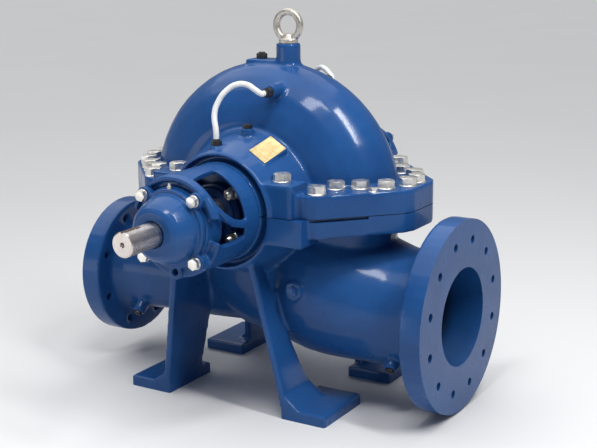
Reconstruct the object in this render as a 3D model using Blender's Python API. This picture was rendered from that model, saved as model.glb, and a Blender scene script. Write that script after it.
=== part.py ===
"""Horizontal split case pump, built from its castings, bearing ends, rotor and small fittings.

Frame: X runs along the pipe line, with the suction flange at +X. Y is the shaft line, with the
drive end at -Y. Z is up, and the feet stand on Z = 0. All sizes are in metres.
Inside the functions the origin is the pump's centre, where the shaft line crosses the middle of
the casing, and the empty "pump_centre" carries every piece from there to its place.
"""

import math

import bmesh
import bpy
from mathutils import Matrix, Vector

# Overall sizes
SHAFT_HEIGHT = 0.392
FACE_TO_CENTRE = 0.405
NOZZLE_DROP = 0.202
SHAFT_NOSE = 0.495
GAP = 0.0003

# Casing joint
GASKET_HALF = 0.0005
JOINT_HALF = GASKET_HALF + GAP
UPPER_RIM = 0.043
LOWER_RIM = 0.037
RIM_END_X = 0.320
RIM_END_Y = 0.052
RIM_FRONT_X = 0.188
RIM_FRONT_Y = 0.192
UPPER_LUG = (0.090, 0.156, 0.150, 0.209, 0.062)
LOWER_LUG = (0.090, 0.180, 0.150, 0.214, 0.052)

# Volute: half its width, the height of its rounded rim, and its outer radius every 30 degrees,
# from the discharge side (-180) past the bottom (-90), the suction side (0) and the top (90)
VOLUTE_FACE = 0.105
VOLUTE_ROUND = 0.140
VOLUTE_STEP = 30.0
VOLUTE_RADII = [
    0.284, 0.272, 0.281, 0.297, 0.284, 0.270, 0.264, 0.261, 0.260, 0.261, 0.268, 0.277, 0.284,
]

# Seal chambers at both ends of the casing, with a groove cast in each end face
CHAMBER_END = 0.214
CHAMBER_END_RADIUS = 0.1125
CHAMBER_ROOT_RADIUS = 0.142
GROOVE_INNER = 0.0945
GROOVE_OUTER = 0.106
GROOVE_DEPTH = 0.021

# Suction branch
SUCTION_FLANGE_RADIUS = 0.187
SUCTION_FLANGE_THICK = 0.043
SUCTION_BORE = 0.095
SUCTION_PITCH_RADIUS = 0.1475
SUCTION_HOLES = 12
SUCTION_BORE_END = 0.120

# Discharge branch
DISCHARGE_FLANGE_RADIUS = 0.146
DISCHARGE_FLANGE_THICK = 0.043
DISCHARGE_BORE = 0.075
DISCHARGE_PITCH_RADIUS = 0.120
DISCHARGE_HOLES = 8
DISCHARGE_BORE_END = -0.120
BOLT_HOLE_RADIUS = 0.0095

# Legs and feet, with one value for the suction side (1) and one for the discharge side (-1)
LEG_TOP_X = {1: 0.050, -1: 0.103}
LEG_TOP_Z = {1: -0.085, -1: -0.050}
LEG_FOOT_X = {1: 0.128, -1: 0.143}
FOOT_OUT_X = {1: 0.220, -1: 0.235}
LEG_THICK = 0.015
LEG_FRONT_Y = 0.203
FOOT_BACK_Y = 0.059
FOOT_THICK = 0.022
KNEE_SIZE = 0.024

# Bearing ends
BRACKET_BACK = CHAMBER_END + GAP
BRACKET_RING_END = 0.259
BRACKET_INNER = 0.084
BRACKET_OUTER = 0.0925
STRIP_INNER = 0.0828
STRIP_OUTER = 0.0935
HOUSING_BACK = 0.302
HOUSING_RING_BACK = 0.336
HOUSING_FRONT = 0.354
HOUSING_RADIUS = 0.074
HOUSING_RING_RADIUS = 0.093
EAR_PITCH_RADIUS = 0.079
EAR_RADIUS = 0.0145
LUG_DROP = 0.082
COVER_RADIUS = 0.0715
COVER_PLATE = 0.011
COVER_NOSE = {"drive": 0.049, "far": 0.057}
FAR_NOSE = HOUSING_FRONT + GAP + COVER_PLATE + COVER_NOSE["far"]
GLAND_RADIUS = 0.058
GLAND_THICK = 0.020
GLAND_STUD_RADIUS = 0.060

# Rotor
SHAFT_END_RADIUS = 0.0226
SHAFT_SEAT_RADIUS = 0.0275
SHAFT_MID_RADIUS = 0.0300
SLEEVE_RADIUS = 0.0345
RUNNING_GAP = 0.0004
KEY_WIDTH = 0.012
KEY_DEPTH = 0.0054
KEY_START = 0.488
KEY_END = 0.448

# Flush lines, which run from a union on the dome to an elbow on the seal chamber
FLUSH_PIPE_RADIUS = 0.0055
UNION_X = 0.048
UNION_Z = 0.214
UNION_BACK = 0.104
UNION_FRONT = 0.124
ELBOW_X = -0.017
ELBOW_Y = 0.190
ELBOW_SEAT = 0.121
ELBOW_TOP = 0.133
FLUSH_KNOTS = [
    (UNION_X, UNION_FRONT + GAP, UNION_Z),
    (UNION_X, UNION_FRONT + 0.008, UNION_Z),
    (0.038, 0.139, 0.222),
    (0.024, 0.144, 0.231),
    (0.008, 0.153, 0.232),
    (-0.010, 0.164, 0.220),
    (-0.022, 0.174, 0.200),
    (-0.025, 0.182, 0.180),
    (ELBOW_X, ELBOW_Y, ELBOW_TOP + 0.012),
    (ELBOW_X, ELBOW_Y, ELBOW_TOP + GAP),
]

# Small fittings on their bosses
EYE_X = 0.026
EYE_SEAT = 0.296
EYE_RING_RADIUS = 0.0265
EYE_BAR_RADIUS = 0.0072
VENT_X = -0.036
VENT_SEAT = 0.264
CHAMBER_PLUG_PLACE = (0.012, 0.128, 0.146)
NIPPLE_Y = 0.3598
GAUGE_PLACE = (0.128, -0.163, -0.150)
GAUGE_LEAN = (0.0, -0.992, 0.126)
SUCTION_DRAIN = (0.300, 0.094)
DISCHARGE_DRAIN = (-0.312, 0.080)
NAMEPLATE_ANGLE = math.radians(58.0)
NAMEPLATE_SLOPE = math.radians(22.6)
NAMEPLATE_CENTRE = 0.1335
NAMEPLATE_ALONG = -0.150
NAMEPLATE_WIDTH = 0.040
NAMEPLATE_LENGTH = 0.060

SPLIT_SIDE = {"drive": -1.0, "far": 1.0}


def material(name, colour, roughness, metallic):
    """Returns a plain Principled material."""
    made = bpy.data.materials.new(name)
    made.use_nodes = True
    shader = made.node_tree.nodes["Principled BSDF"]
    shader.inputs["Base Color"].default_value = (*colour, 1.0)
    shader.inputs["Roughness"].default_value = roughness
    shader.inputs["Metallic"].default_value = metallic
    return made


def solid(name, shape):
    """Turns a bmesh into an object of the pump, with its faces pointing out."""
    bmesh.ops.remove_doubles(shape, verts=shape.verts, dist=1e-6)
    bmesh.ops.dissolve_degenerate(shape, edges=shape.edges, dist=1e-6)
    bmesh.ops.recalc_face_normals(shape, faces=shape.faces)
    mesh = bpy.data.meshes.new(name)
    shape.to_mesh(mesh)
    shape.free()
    piece = bpy.data.objects.new(name, mesh)
    bpy.context.scene.collection.objects.link(piece)
    return piece


def combine(base, tool, operation):
    """Joins or cuts the base with the tool, keeps the result and removes the tool."""
    step = base.modifiers.new(operation, "BOOLEAN")
    step.operation = operation
    step.object = tool
    step.solver = "EXACT"
    graph = bpy.context.evaluated_depsgraph_get()
    result = bpy.data.meshes.new_from_object(base.evaluated_get(graph))
    base.modifiers.clear()
    base.data = result
    bpy.data.objects.remove(tool)
    return base


def fuse(base, *tools):
    for tool in tools:
        combine(base, tool, "UNION")
    return base


def cut(base, *tools):
    for tool in tools:
        combine(base, tool, "DIFFERENCE")
    return base


def block(name, low, high):
    """A box between two corners."""
    shape = bmesh.new()
    size = [b - a for a, b in zip(low, high)]
    middle = [(a + b) / 2 for a, b in zip(low, high)]
    bmesh.ops.create_cube(shape, size=1.0)
    bmesh.ops.scale(shape, verts=shape.verts, vec=size)
    bmesh.ops.translate(shape, verts=shape.verts, vec=middle)
    return solid(name, shape)


def prism(name, outline, start, reach):
    """Extrudes a flat outline of 3D points along the vector reach."""
    shape = bmesh.new()
    corners = [shape.verts.new(Vector(point) + Vector(start)) for point in outline]
    face = shape.faces.new(corners)
    pushed = bmesh.ops.extrude_face_region(shape, geom=[face])
    moved = [item for item in pushed["geom"] if isinstance(item, bmesh.types.BMVert)]
    bmesh.ops.translate(shape, verts=moved, vec=reach)
    return solid(name, shape)


def turned(name, profile, steps=48, start=0.0, sweep=360.0):
    """Turns a closed profile of (radius, along) points about the shaft line, Y.

    A start of 0 lies on +X, and the angle grows towards +Z.
    """
    shape = bmesh.new()
    turn = Matrix.Rotation(math.radians(-start), 4, "Y")
    corners = [shape.verts.new(turn @ Vector((radius, along, 0.0))) for radius, along in profile]
    edges = [shape.edges.new((a, b)) for a, b in zip(corners, corners[1:] + corners[:1])]
    whole = abs(sweep) >= 360.0
    made = bmesh.ops.spin(
        shape,
        geom=corners + edges,
        cent=(0.0, 0.0, 0.0),
        axis=(0.0, -1.0, 0.0),
        angle=math.radians(sweep),
        steps=steps,
        use_duplicate=False,
    )
    if not whole:
        last = [item for item in made["geom_last"] if isinstance(item, bmesh.types.BMEdge)]
        bmesh.ops.edgeloop_fill(shape, edges=edges)
        bmesh.ops.edgeloop_fill(shape, edges=last)
    return solid(name, shape)


def rod(name, start, end, radius, steps=16, end_radius=None):
    """A round bar between two points, straight or tapered."""
    begin = Vector(start)
    run = Vector(end) - begin
    shape = bmesh.new()
    bmesh.ops.create_cone(
        shape,
        cap_ends=True,
        segments=steps,
        radius1=radius,
        radius2=radius if end_radius is None else end_radius,
        depth=run.length,
    )
    bmesh.ops.translate(shape, verts=shape.verts, vec=(0.0, 0.0, run.length / 2))
    aim = run.to_track_quat("Z", "Y").to_matrix().to_4x4()
    bmesh.ops.transform(shape, verts=shape.verts, matrix=Matrix.Translation(begin) @ aim)
    return solid(name, shape)


def pipe_loft(name, sections, steps=36):
    """Skins elliptical sections (x, half width in Y, half height in Z, centre height)."""
    shape = bmesh.new()
    rings = []
    for x, half_width, half_height, height in sections:
        ring = []
        for step in range(steps):
            angle = 2 * math.pi * step / steps
            y = half_width * math.cos(angle)
            z = height + half_height * math.sin(angle)
            ring.append(shape.verts.new((x, y, z)))
        rings.append(ring)
    for ring, following in zip(rings, rings[1:]):
        for step in range(steps):
            after = (step + 1) % steps
            shape.faces.new((ring[step], ring[after], following[after], following[step]))
    shape.faces.new(rings[0])
    shape.faces.new(rings[-1])
    return solid(name, shape)


def volute_radius(angle):
    """Outer radius of the volute at an angle in degrees, 0 on +X and 90 at the top.

    A smooth curve through the stated radii, which repeats after a whole turn.
    """
    count = len(VOLUTE_RADII) - 1
    place = ((angle + 180.0) / VOLUTE_STEP) % count
    at = int(place)
    t = place - at
    before, here, there, after = [VOLUTE_RADII[(at + step) % count] for step in (-1, 0, 1, 2)]
    return catmull_rom(before, here, there, after, t)


def catmull_rom(before, here, there, after, t):
    """Value between here and there on the smooth curve through four neighbours."""
    return 0.5 * (
        2 * here
        + (there - before) * t
        + (2 * before - 5 * here + 4 * there - after) * t * t
        + (3 * here - before - 3 * there + after) * t * t * t
    )


def volute_section():
    """Half of the volute's rim, an ellipse, as (Y, inset from the outer radius) from its face."""
    points = [(VOLUTE_FACE, None)]
    steps = 7
    for step in range(steps):
        angle = math.radians(90.0 * step / (steps - 0.5))
        along = VOLUTE_FACE * math.cos(angle)
        inset = VOLUTE_ROUND * (1 - math.sin(angle))
        points.append((along, inset))
    return points


def volute_half(name, first, last, steps):
    """The volute between two angles, as a ring that is closed towards the shaft line."""
    hub_radius = 0.090
    side = volute_section()
    outline = [(along, inset) for along, inset in side]
    outline += [(-along, inset) for along, inset in reversed(side)]
    shape = bmesh.new()
    slices = []
    for step in range(steps + 1):
        degrees = first + (last - first) * step / steps
        radius = volute_radius(degrees)
        angle = math.radians(degrees)
        ring = []
        for along, inset in outline:
            reach = hub_radius if inset is None else radius - inset
            ring.append(shape.verts.new((reach * math.cos(angle), along, reach * math.sin(angle))))
        slices.append(ring)
    for ring, following in zip(slices, slices[1:]):
        for step in range(len(outline)):
            after = (step + 1) % len(outline)
            shape.faces.new((ring[step], ring[after], following[after], following[step]))
    shape.faces.new(slices[0])
    shape.faces.new(slices[-1])
    return solid(name, shape)


def chamber_half(name, side, start):
    """Half of a seal chamber: a tapered barrel that runs from the volute to the bracket."""
    profile = [
        (0.0, -0.02),
        (0.135, -0.02),
        (CHAMBER_ROOT_RADIUS + 0.014, 0.092),
        (CHAMBER_ROOT_RADIUS + 0.003, 0.101),
        (CHAMBER_ROOT_RADIUS - 0.003, 0.112),
        (0.129, 0.150),
        (CHAMBER_END_RADIUS + 0.003, 0.200),
        (CHAMBER_END_RADIUS, CHAMBER_END - 0.003),
        (CHAMBER_END_RADIUS - 0.003, CHAMBER_END),
        (0.0, CHAMBER_END),
    ]
    return turned(name, mirrored(profile, side), steps=24, start=start, sweep=180.0)


def chamber_groove(side):
    """Ring that cuts the groove in a seal chamber's end face."""
    floor = CHAMBER_END - GROOVE_DEPTH
    profile = [
        (GROOVE_INNER, floor),
        (GROOVE_OUTER, floor),
        (GROOVE_OUTER, CHAMBER_END + 0.010),
        (GROOVE_INNER, CHAMBER_END + 0.010),
    ]
    return turned("groove", mirrored(profile, side), steps=48)


def rim_outline(inset=0.0):
    """Plan of the casing joint: an octagon with its corners eased."""
    end_x = RIM_END_X - inset
    end_y = RIM_END_Y - inset * 0.4
    front_x = RIM_FRONT_X - inset * 0.4
    front_y = RIM_FRONT_Y - inset
    ease = 0.012
    run = Vector((front_x - end_x, front_y - end_y)).normalized() * ease
    quarter = [
        (end_x, end_y - ease),
        (end_x + run.x, end_y + run.y),
        (front_x - run.x, front_y - run.y),
        (front_x - ease, front_y),
    ]
    left = [(-x, y) for x, y in reversed(quarter)]
    upper = quarter + left
    return upper + [(-x, -y) for x, y in upper]


def rim_slab(name, low, high, inset=0.0):
    outline = [(x, y, 0.0) for x, y in rim_outline(inset)]
    return prism(name, outline, (0.0, 0.0, low), (0.0, 0.0, high - low))


def lugs(name, size, low, high):
    """Thick corner lugs beside the seal chambers, two at each end."""
    inner_x, outer_x, inner_y, outer_y, _ = size
    made = []
    for x_side in (-1, 1):
        for y_side in (-1, 1):
            x = sorted((x_side * inner_x, x_side * outer_x))
            y = sorted((y_side * inner_y, y_side * outer_y))
            made.append(block(name, (x[0], y[0], low), (x[1], y[1], high)))
    return made


def shaft_bore(name, reach=0.3):
    radius = SLEEVE_RADIUS + RUNNING_GAP * 2
    return rod(name, (0.0, -reach, 0.0), (0.0, reach, 0.0), radius, steps=28)


def upper_casing(paint):
    """Cover half of the casting: dome, joint rim, lugs and the upper seal chambers."""
    body = rim_slab("upper_casing", -0.010, UPPER_RIM)
    fuse(body, volute_half("dome", -6.0, 186.0, 28))
    for side in SPLIT_SIDE.values():
        fuse(body, chamber_half("chamber", side, 0.0))
    fuse(body, *lugs("lug", UPPER_LUG, -0.010, UPPER_LUG[4]))
    fuse(body, rod("eye_boss", (EYE_X, 0.0, 0.200), (EYE_X, 0.0, EYE_SEAT), 0.024, steps=24))
    fuse(body, block("vent_pad", (-0.060, -0.022, 0.200), (0.020, 0.022, VENT_SEAT)))
    plug_x, plug_y, plug_seat = CHAMBER_PLUG_PLACE
    for side in SPLIT_SIDE.values():
        union_end = (UNION_X, side * UNION_BACK, UNION_Z)
        elbow_end = (ELBOW_X, side * ELBOW_Y, ELBOW_SEAT)
        fuse(body, rod("union_boss", (UNION_X, side * 0.06, UNION_Z), union_end, 0.013))
        fuse(body, rod("elbow_boss", (ELBOW_X, side * ELBOW_Y, 0.08), elbow_end, 0.014))
        fuse(body, rod("plug_boss", (plug_x, side * plug_y, 0.10), (plug_x, side * plug_y, plug_seat), 0.013))
    fuse(body, nameplate_pad())
    below = block("below", (-0.5, -0.5, -0.3), (0.5, 0.5, JOINT_HALF))
    cut(body, below, shaft_bore("bore"), chamber_groove(-1), chamber_groove(1))
    finish(body, paint)


def nameplate_frame():
    """Matrix whose X runs round the chamber, Y along it and Z straight out of the pad."""
    out_flat = Vector((math.cos(NAMEPLATE_ANGLE), 0.0, math.sin(NAMEPLATE_ANGLE)))
    around = Vector((math.sin(NAMEPLATE_ANGLE), 0.0, -math.cos(NAMEPLATE_ANGLE)))
    lean = math.sin(NAMEPLATE_SLOPE)
    rise = math.cos(NAMEPLATE_SLOPE)
    out = out_flat * rise - Vector((0.0, 1.0, 0.0)) * lean
    along = out.cross(around)
    place = out_flat * NAMEPLATE_CENTRE + Vector((0.0, NAMEPLATE_ALONG, 0.0))
    matrix = Matrix((around, along, out)).transposed().to_4x4()
    return Matrix.Translation(place) @ matrix


def plate(name, width, length, low, high):
    """A flat plate in the nameplate's frame."""
    shape = bmesh.new()
    bmesh.ops.create_cube(shape, size=1.0)
    bmesh.ops.scale(shape, verts=shape.verts, vec=(width, length, high - low))
    bmesh.ops.translate(shape, verts=shape.verts, vec=(0.0, 0.0, (low + high) / 2))
    bmesh.ops.transform(shape, verts=shape.verts, matrix=nameplate_frame())
    return solid(name, shape)


def nameplate_pad():
    return plate("nameplate_pad", NAMEPLATE_WIDTH + 0.006, NAMEPLATE_LENGTH + 0.006, -0.030, 0.0)


def flange_holes(x_low, x_high, pitch_radius, count):
    """Round cutters for a flange's bolt holes, which straddle the upright centre line."""
    made = []
    for number in range(count):
        angle = 2 * math.pi * (number + 0.5) / count
        y = pitch_radius * math.sin(angle)
        z = pitch_radius * math.cos(angle) - NOZZLE_DROP
        made.append(rod("bolt_hole", (x_low, y, z), (x_high, y, z), BOLT_HOLE_RADIUS, steps=10))
    return made


def suction_branch():
    """Suction nozzle: a wide belly beside the volute that narrows to the pipe flange."""
    back = FACE_TO_CENTRE - SUCTION_FLANGE_THICK
    drop = -NOZZLE_DROP
    sections = [
        (0.020, 0.095, 0.116, drop + 0.028),
        (0.052, 0.128, 0.128, drop + 0.032),
        (0.080, 0.148, 0.137, drop + 0.033),
        (0.110, 0.156, 0.142, drop + 0.032),
        (0.146, 0.155, 0.143, drop + 0.029),
        (0.185, 0.146, 0.136, drop + 0.021),
        (0.230, 0.132, 0.126, drop + 0.011),
        (0.290, 0.118, 0.117, drop + 0.002),
        (0.335, 0.115, 0.115, drop),
        (0.352, 0.120, 0.120, drop),
        (back + 0.004, 0.136, 0.136, drop),
    ]
    body = pipe_loft("suction_branch", sections)
    flange = rod("suction_flange", (back, 0, drop), (FACE_TO_CENTRE, 0, drop), SUCTION_FLANGE_RADIUS, 56)
    fuse(body, flange)
    boss_start = (GAUGE_PLACE[0], -0.100, -0.158)
    fuse(body, rod("gauge_boss", boss_start, GAUGE_PLACE, 0.019, 20))
    for side in (-1, 1):
        fuse(body, drain_boss(SUCTION_DRAIN, side))
    return body


def drain_boss(place, side):
    """A short round boss that leans out of a nozzle's underside."""
    x, reach = place
    depth = 0.034
    start = (x, side * (reach - depth), -NOZZLE_DROP - reach + depth)
    return rod("drain_boss", start, (x, side * reach, -NOZZLE_DROP - reach), 0.014, 16)


def discharge_branch():
    """Discharge nozzle, a straight pipe that leaves the volute near its bottom."""
    back = FACE_TO_CENTRE - DISCHARGE_FLANGE_THICK
    drop = -NOZZLE_DROP
    sections = [
        (-back - 0.004, 0.108, 0.108, drop),
        (-0.352, 0.096, 0.096, drop),
        (-0.335, 0.090, 0.090, drop),
        (-0.267, 0.084, 0.084, drop),
        (-0.150, 0.080, 0.080, drop - 0.002),
        (-0.020, 0.078, 0.072, drop - 0.002),
    ]
    body = pipe_loft("discharge_branch", sections, steps=32)
    flange = rod("discharge_flange", (-FACE_TO_CENTRE, 0, drop), (-back, 0, drop), DISCHARGE_FLANGE_RADIUS, 48)
    fuse(body, flange)
    for side in (-1, 1):
        fuse(body, drain_boss(DISCHARGE_DRAIN, side))
    return body


def leg(x_side, y_side):
    """One splayed leg plate with its foot, as a single cast shape."""
    bottom = -SHAFT_HEIGHT
    foot_top = bottom + FOOT_THICK
    top_x = LEG_TOP_X[x_side]
    top_z = LEG_TOP_Z[x_side]
    foot_x = LEG_FOOT_X[x_side]
    heel_y = 0.088
    if x_side > 0:
        back_edge = [(0.178, top_z), (0.152, -0.165), (0.138, -0.243), (0.116, -0.320)]
    else:
        back_edge = [(0.155, top_z), (0.140, -0.140), (0.070, -0.165), (0.066, -0.250), (0.070, -0.262)]
    back_edge.append((heel_y, foot_top))
    web = [(LEG_FRONT_Y, foot_top - 0.01), (LEG_FRONT_Y, top_z)] + back_edge
    web.append((heel_y, foot_top - 0.01))
    slope = (foot_x - top_x) / (top_z - bottom)
    outline = []
    for y, z in web:
        x = top_x + (top_z - z) * slope
        outline.append((x_side * x, y_side * y, z))
    plate_leg = prism("leg", outline, (0.0, 0.0, 0.0), (x_side * LEG_THICK, 0.0, 0.0))
    x = sorted((x_side * (foot_x - 0.004), x_side * FOOT_OUT_X[x_side]))
    y = sorted((y_side * FOOT_BACK_Y, y_side * LEG_FRONT_Y))
    foot = block("foot", (x[0], y[0], bottom), (x[1], y[1], foot_top))
    knee_in = foot_x + LEG_THICK / 4
    knee_out = foot_x + LEG_THICK + KNEE_SIZE
    knee_y = heel_y + 0.014
    knee = [
        (x_side * knee_in, y_side * knee_y, foot_top - 0.004),
        (x_side * knee_out, y_side * knee_y, foot_top - 0.004),
        (x_side * knee_in, y_side * knee_y, foot_top + KNEE_SIZE),
    ]
    fillet = prism("knee", knee, (0.0, 0.0, 0.0), (0.0, y_side * (LEG_FRONT_Y - knee_y), 0.0))
    return fuse(plate_leg, foot, fillet)


def lower_casing(paint):
    """Base half of the casting, with both nozzles, the legs and the lower seal chambers."""
    drop = -NOZZLE_DROP
    suction = cut(
        suction_branch(),
        rod("suction_bore", (SUCTION_BORE_END, 0, drop), (0.5, 0, drop), SUCTION_BORE, 40),
        *flange_holes(0.35, 0.45, SUCTION_PITCH_RADIUS, SUCTION_HOLES),
    )
    body = rim_slab("lower_casing", -LOWER_RIM, 0.010)
    fuse(body, volute_half("bowl", -186.0, 6.0, 28))
    fuse(body, discharge_branch())
    cut(body, rod("discharge_bore", (-0.5, 0, drop), (DISCHARGE_BORE_END, 0, drop), DISCHARGE_BORE, 32))
    cut(body, *flange_holes(-0.45, -0.35, DISCHARGE_PITCH_RADIUS, DISCHARGE_HOLES))
    fuse(body, suction)
    for side in SPLIT_SIDE.values():
        fuse(body, chamber_half("chamber", side, 180.0))
    fuse(body, *lugs("lug", LOWER_LUG, -LOWER_LUG[4], 0.010))
    for x_side in (-1, 1):
        for y_side in (-1, 1):
            fuse(body, leg(x_side, y_side))
    above = block("above", (-0.5, -0.5, -JOINT_HALF), (0.5, 0.5, 0.3))
    cut(body, above, shaft_bore("bore"), chamber_groove(-1), chamber_groove(1))
    finish(body, paint)


def split_gaskets(sheet):
    """Two thin gaskets in the casing joint, one on each side of the shaft."""
    for name, side in (("split_gasket_suction", 1), ("split_gasket_discharge", -1)):
        gasket = rim_slab(name, -GASKET_HALF, GASKET_HALF, inset=0.0015)
        x = sorted((-side * 0.5, side * (SLEEVE_RADIUS + 0.004)))
        cut(gasket, block("other_side", (x[0], -0.5, -0.1), (x[1], 0.5, 0.1)))
        finish(gasket, sheet)


def mirrored(profile, side):
    return [(radius, side * along) for radius, along in profile]


def bearing_bracket(end, paint):
    """Open bracket: a ring on the chamber, three arms, a drip pan and the bearing housing.

    The housing is a barrel with an arched rib over its upper half and four ears for the cover.
    """
    side = SPLIT_SIDE[end]
    ring = [
        (BRACKET_INNER, BRACKET_BACK),
        (BRACKET_OUTER, BRACKET_BACK),
        (BRACKET_OUTER, BRACKET_RING_END - 0.001),
        (BRACKET_OUTER - 0.001, BRACKET_RING_END),
        (BRACKET_OUTER - 0.005, BRACKET_RING_END),
        (BRACKET_INNER, BRACKET_RING_END - 0.014),
    ]
    body = turned("bearing_bracket_" + end, mirrored(ring, side), steps=40)
    arm_back = BRACKET_RING_END - 0.008
    arm_front = HOUSING_RING_BACK + 0.0025
    top_arm = [(arm_back, 75.0, 105.0), (0.300, 73.0, 107.0), (arm_front, 68.0, 112.0)]
    pan = [
        (arm_back, 196.7, 343.3),
        (0.272, 200.0, 340.0),
        (0.297, 201.5, 338.5),
        (0.322, 200.0, 340.0),
        (arm_front, 196.0, 344.0),
    ]
    side_arm = [
        (arm_back, -7.3, 2.4),
        (0.272, -5.0, 4.5),
        (0.294, -1.0, 8.5),
        (0.316, 7.5, 17.5),
        (0.330, 17.0, 28.0),
        (arm_front, 25.0, 40.0),
    ]
    other_arm = [(along, 180.0 - last, 180.0 - first) for along, first, last in side_arm]
    fuse(body, shell_strip("pan", side, pan, 14), shell_strip("top_arm", side, top_arm, 4))
    fuse(body, shell_strip("arm", side, side_arm, 2), shell_strip("arm", side, other_arm, 2))
    finish(fuse(body, bearing_housing(side)), paint)


def bearing_housing(side):
    """Bearing barrel with a web above and one below, the arched rib, four ears and a drain lug."""
    web_front = HOUSING_RING_BACK + 0.008
    profile = [
        (SHAFT_SEAT_RADIUS + RUNNING_GAP, HOUSING_BACK),
        (HOUSING_RADIUS - 0.006, HOUSING_BACK),
        (HOUSING_RADIUS, HOUSING_BACK + 0.006),
        (HOUSING_RADIUS, HOUSING_FRONT),
        (SHAFT_SEAT_RADIUS + RUNNING_GAP, HOUSING_FRONT),
    ]
    body = turned("housing", mirrored(profile, side), steps=40)
    web = [
        (0.060, HOUSING_RING_BACK),
        (HOUSING_RING_RADIUS + 0.001, HOUSING_RING_BACK),
        (HOUSING_RING_RADIUS + 0.001, web_front),
        (0.060, web_front),
    ]
    fuse(body, turned("web", mirrored(web, side), steps=20, start=14.0, sweep=152.0))
    fuse(body, turned("web", mirrored(web, side), steps=20, start=194.0, sweep=152.0))
    arch_back = web_front - 0.003
    arch = [
        (HOUSING_RING_RADIUS - 0.001, arch_back),
        (HOUSING_RING_RADIUS - 0.001, HOUSING_FRONT),
        (HOUSING_RING_RADIUS - 0.009, HOUSING_FRONT),
        (HOUSING_RING_RADIUS - 0.009, arch_back),
    ]
    fuse(body, turned("arch", mirrored(arch, side), steps=21, start=16.0, sweep=148.0))
    for x, z in ear_places():
        ear_back = (x, side * (web_front - 0.0045), z)
        fuse(body, rod("ear", ear_back, (x, side * HOUSING_FRONT, z), EAR_RADIUS, 16))
    lug_back = (0.0, side * (HOUSING_RING_BACK + 0.004), -LUG_DROP)
    lug_front = (0.0, side * (HOUSING_FRONT - 0.001), -LUG_DROP)
    fuse(body, rod("drain_lug", lug_back, lug_front, 0.0145, 16))
    hole = rod("drain_hole", (0.0, side * 0.32, -LUG_DROP), (0.0, side * 0.37, -LUG_DROP), 0.006, 12)
    return cut(body, hole)


def ear_places():
    """X and Z of the four ears for the bearing cover's bolts."""
    places = []
    for number in range(4):
        angle = math.radians(45 + 90 * number)
        places.append((EAR_PITCH_RADIUS * math.cos(angle), EAR_PITCH_RADIUS * math.sin(angle)))
    return places


def shell_strip(name, side, stations, steps):
    """A strip of the bracket's round shell, through stations (along, first and last degrees)."""
    shape = bmesh.new()
    loops = []
    for along, first, last in stations:
        turns = [math.radians(first + (last - first) * step / steps) for step in range(steps + 1)]
        loop = []
        for radius, order in ((STRIP_OUTER, turns), (STRIP_INNER, reversed(turns))):
            for turn in order:
                place = (radius * math.cos(turn), side * along, radius * math.sin(turn))
                loop.append(shape.verts.new(place))
        loops.append(loop)
    for loop, following in zip(loops, loops[1:]):
        for corner in range(len(loop)):
            after = (corner + 1) % len(loop)
            shape.faces.new((loop[corner], loop[after], following[after], following[corner]))
    shape.faces.new(loops[0])
    shape.faces.new(loops[-1])
    bmesh.ops.triangulate(shape, faces=shape.faces)
    return solid(name, shape)


def bearing_cover(end, paint):
    """Bearing cover with four ears: open for the shaft at the drive end, closed at the far end."""
    side = SPLIT_SIDE[end]
    back = HOUSING_FRONT + GAP
    front = back + COVER_PLATE
    nose = front + COVER_NOSE[end]
    outer = [
        (COVER_RADIUS, back),
        (COVER_RADIUS, front - 0.002),
        (COVER_RADIUS - 0.0015, front),
        (0.0640, front),
        (0.0625, front + 0.009),
        (0.0600, front + 0.019),
        (0.0565, nose - 0.021),
        (0.0525, nose - 0.012),
        (0.0470, nose - 0.005),
        (0.0400, nose),
    ]
    if end == "drive":
        hole = SHAFT_END_RADIUS + RUNNING_GAP
        profile = outer + [(hole + 0.003, nose), (hole, nose - 0.003), (hole, back)]
    else:
        profile = outer + [(0.0, nose), (0.0, back + 0.012), (0.040, back + 0.012), (0.040, back)]
    body = turned("bearing_cover_" + end, mirrored(profile, side), steps=40)
    for x, z in ear_places():
        ear_back = (x, side * back, z)
        fuse(body, rod("ear", ear_back, (x, side * (front - 0.001), z), EAR_RADIUS, 16))
    finish(body, paint)


def gland(end, metal):
    """Seal cover plate on the chamber's end face, with four lobes for its studs."""
    side = SPLIT_SIDE[end]
    back = CHAMBER_END + GAP
    front = back + GLAND_THICK
    bore = SLEEVE_RADIUS + RUNNING_GAP * 2
    profile = [
        (bore, back),
        (GLAND_RADIUS, back),
        (GLAND_RADIUS, front - 0.004),
        (0.050, front - 0.003),
        (0.050, front + 0.004),
        (bore, front + 0.004),
    ]
    body = turned("gland_" + end, mirrored(profile, side), steps=32)
    for number in range(4):
        angle = math.radians(45 + 90 * number)
        x = GLAND_STUD_RADIUS * math.cos(angle)
        z = GLAND_STUD_RADIUS * math.sin(angle)
        lobe = rod("lobe", (x, side * back, z), (x, side * (back + 0.014), z), 0.014, 12)
        fuse(body, lobe)
    finish(body, metal)


def smooth_route(knots, spacing):
    """Points on a smooth curve through the knots, found by Catmull-Rom interpolation."""
    ends = [knots[0] * 2 - knots[1]] + knots + [knots[-1] * 2 - knots[-2]]
    route = []
    for before, here, there, after in zip(ends, ends[1:], ends[2:], ends[3:]):
        pieces = max(1, round((there - here).length / spacing))
        for piece in range(pieces):
            route.append(catmull_rom(before, here, there, after, piece / pieces))
    route.append(knots[-1])
    return route


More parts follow.
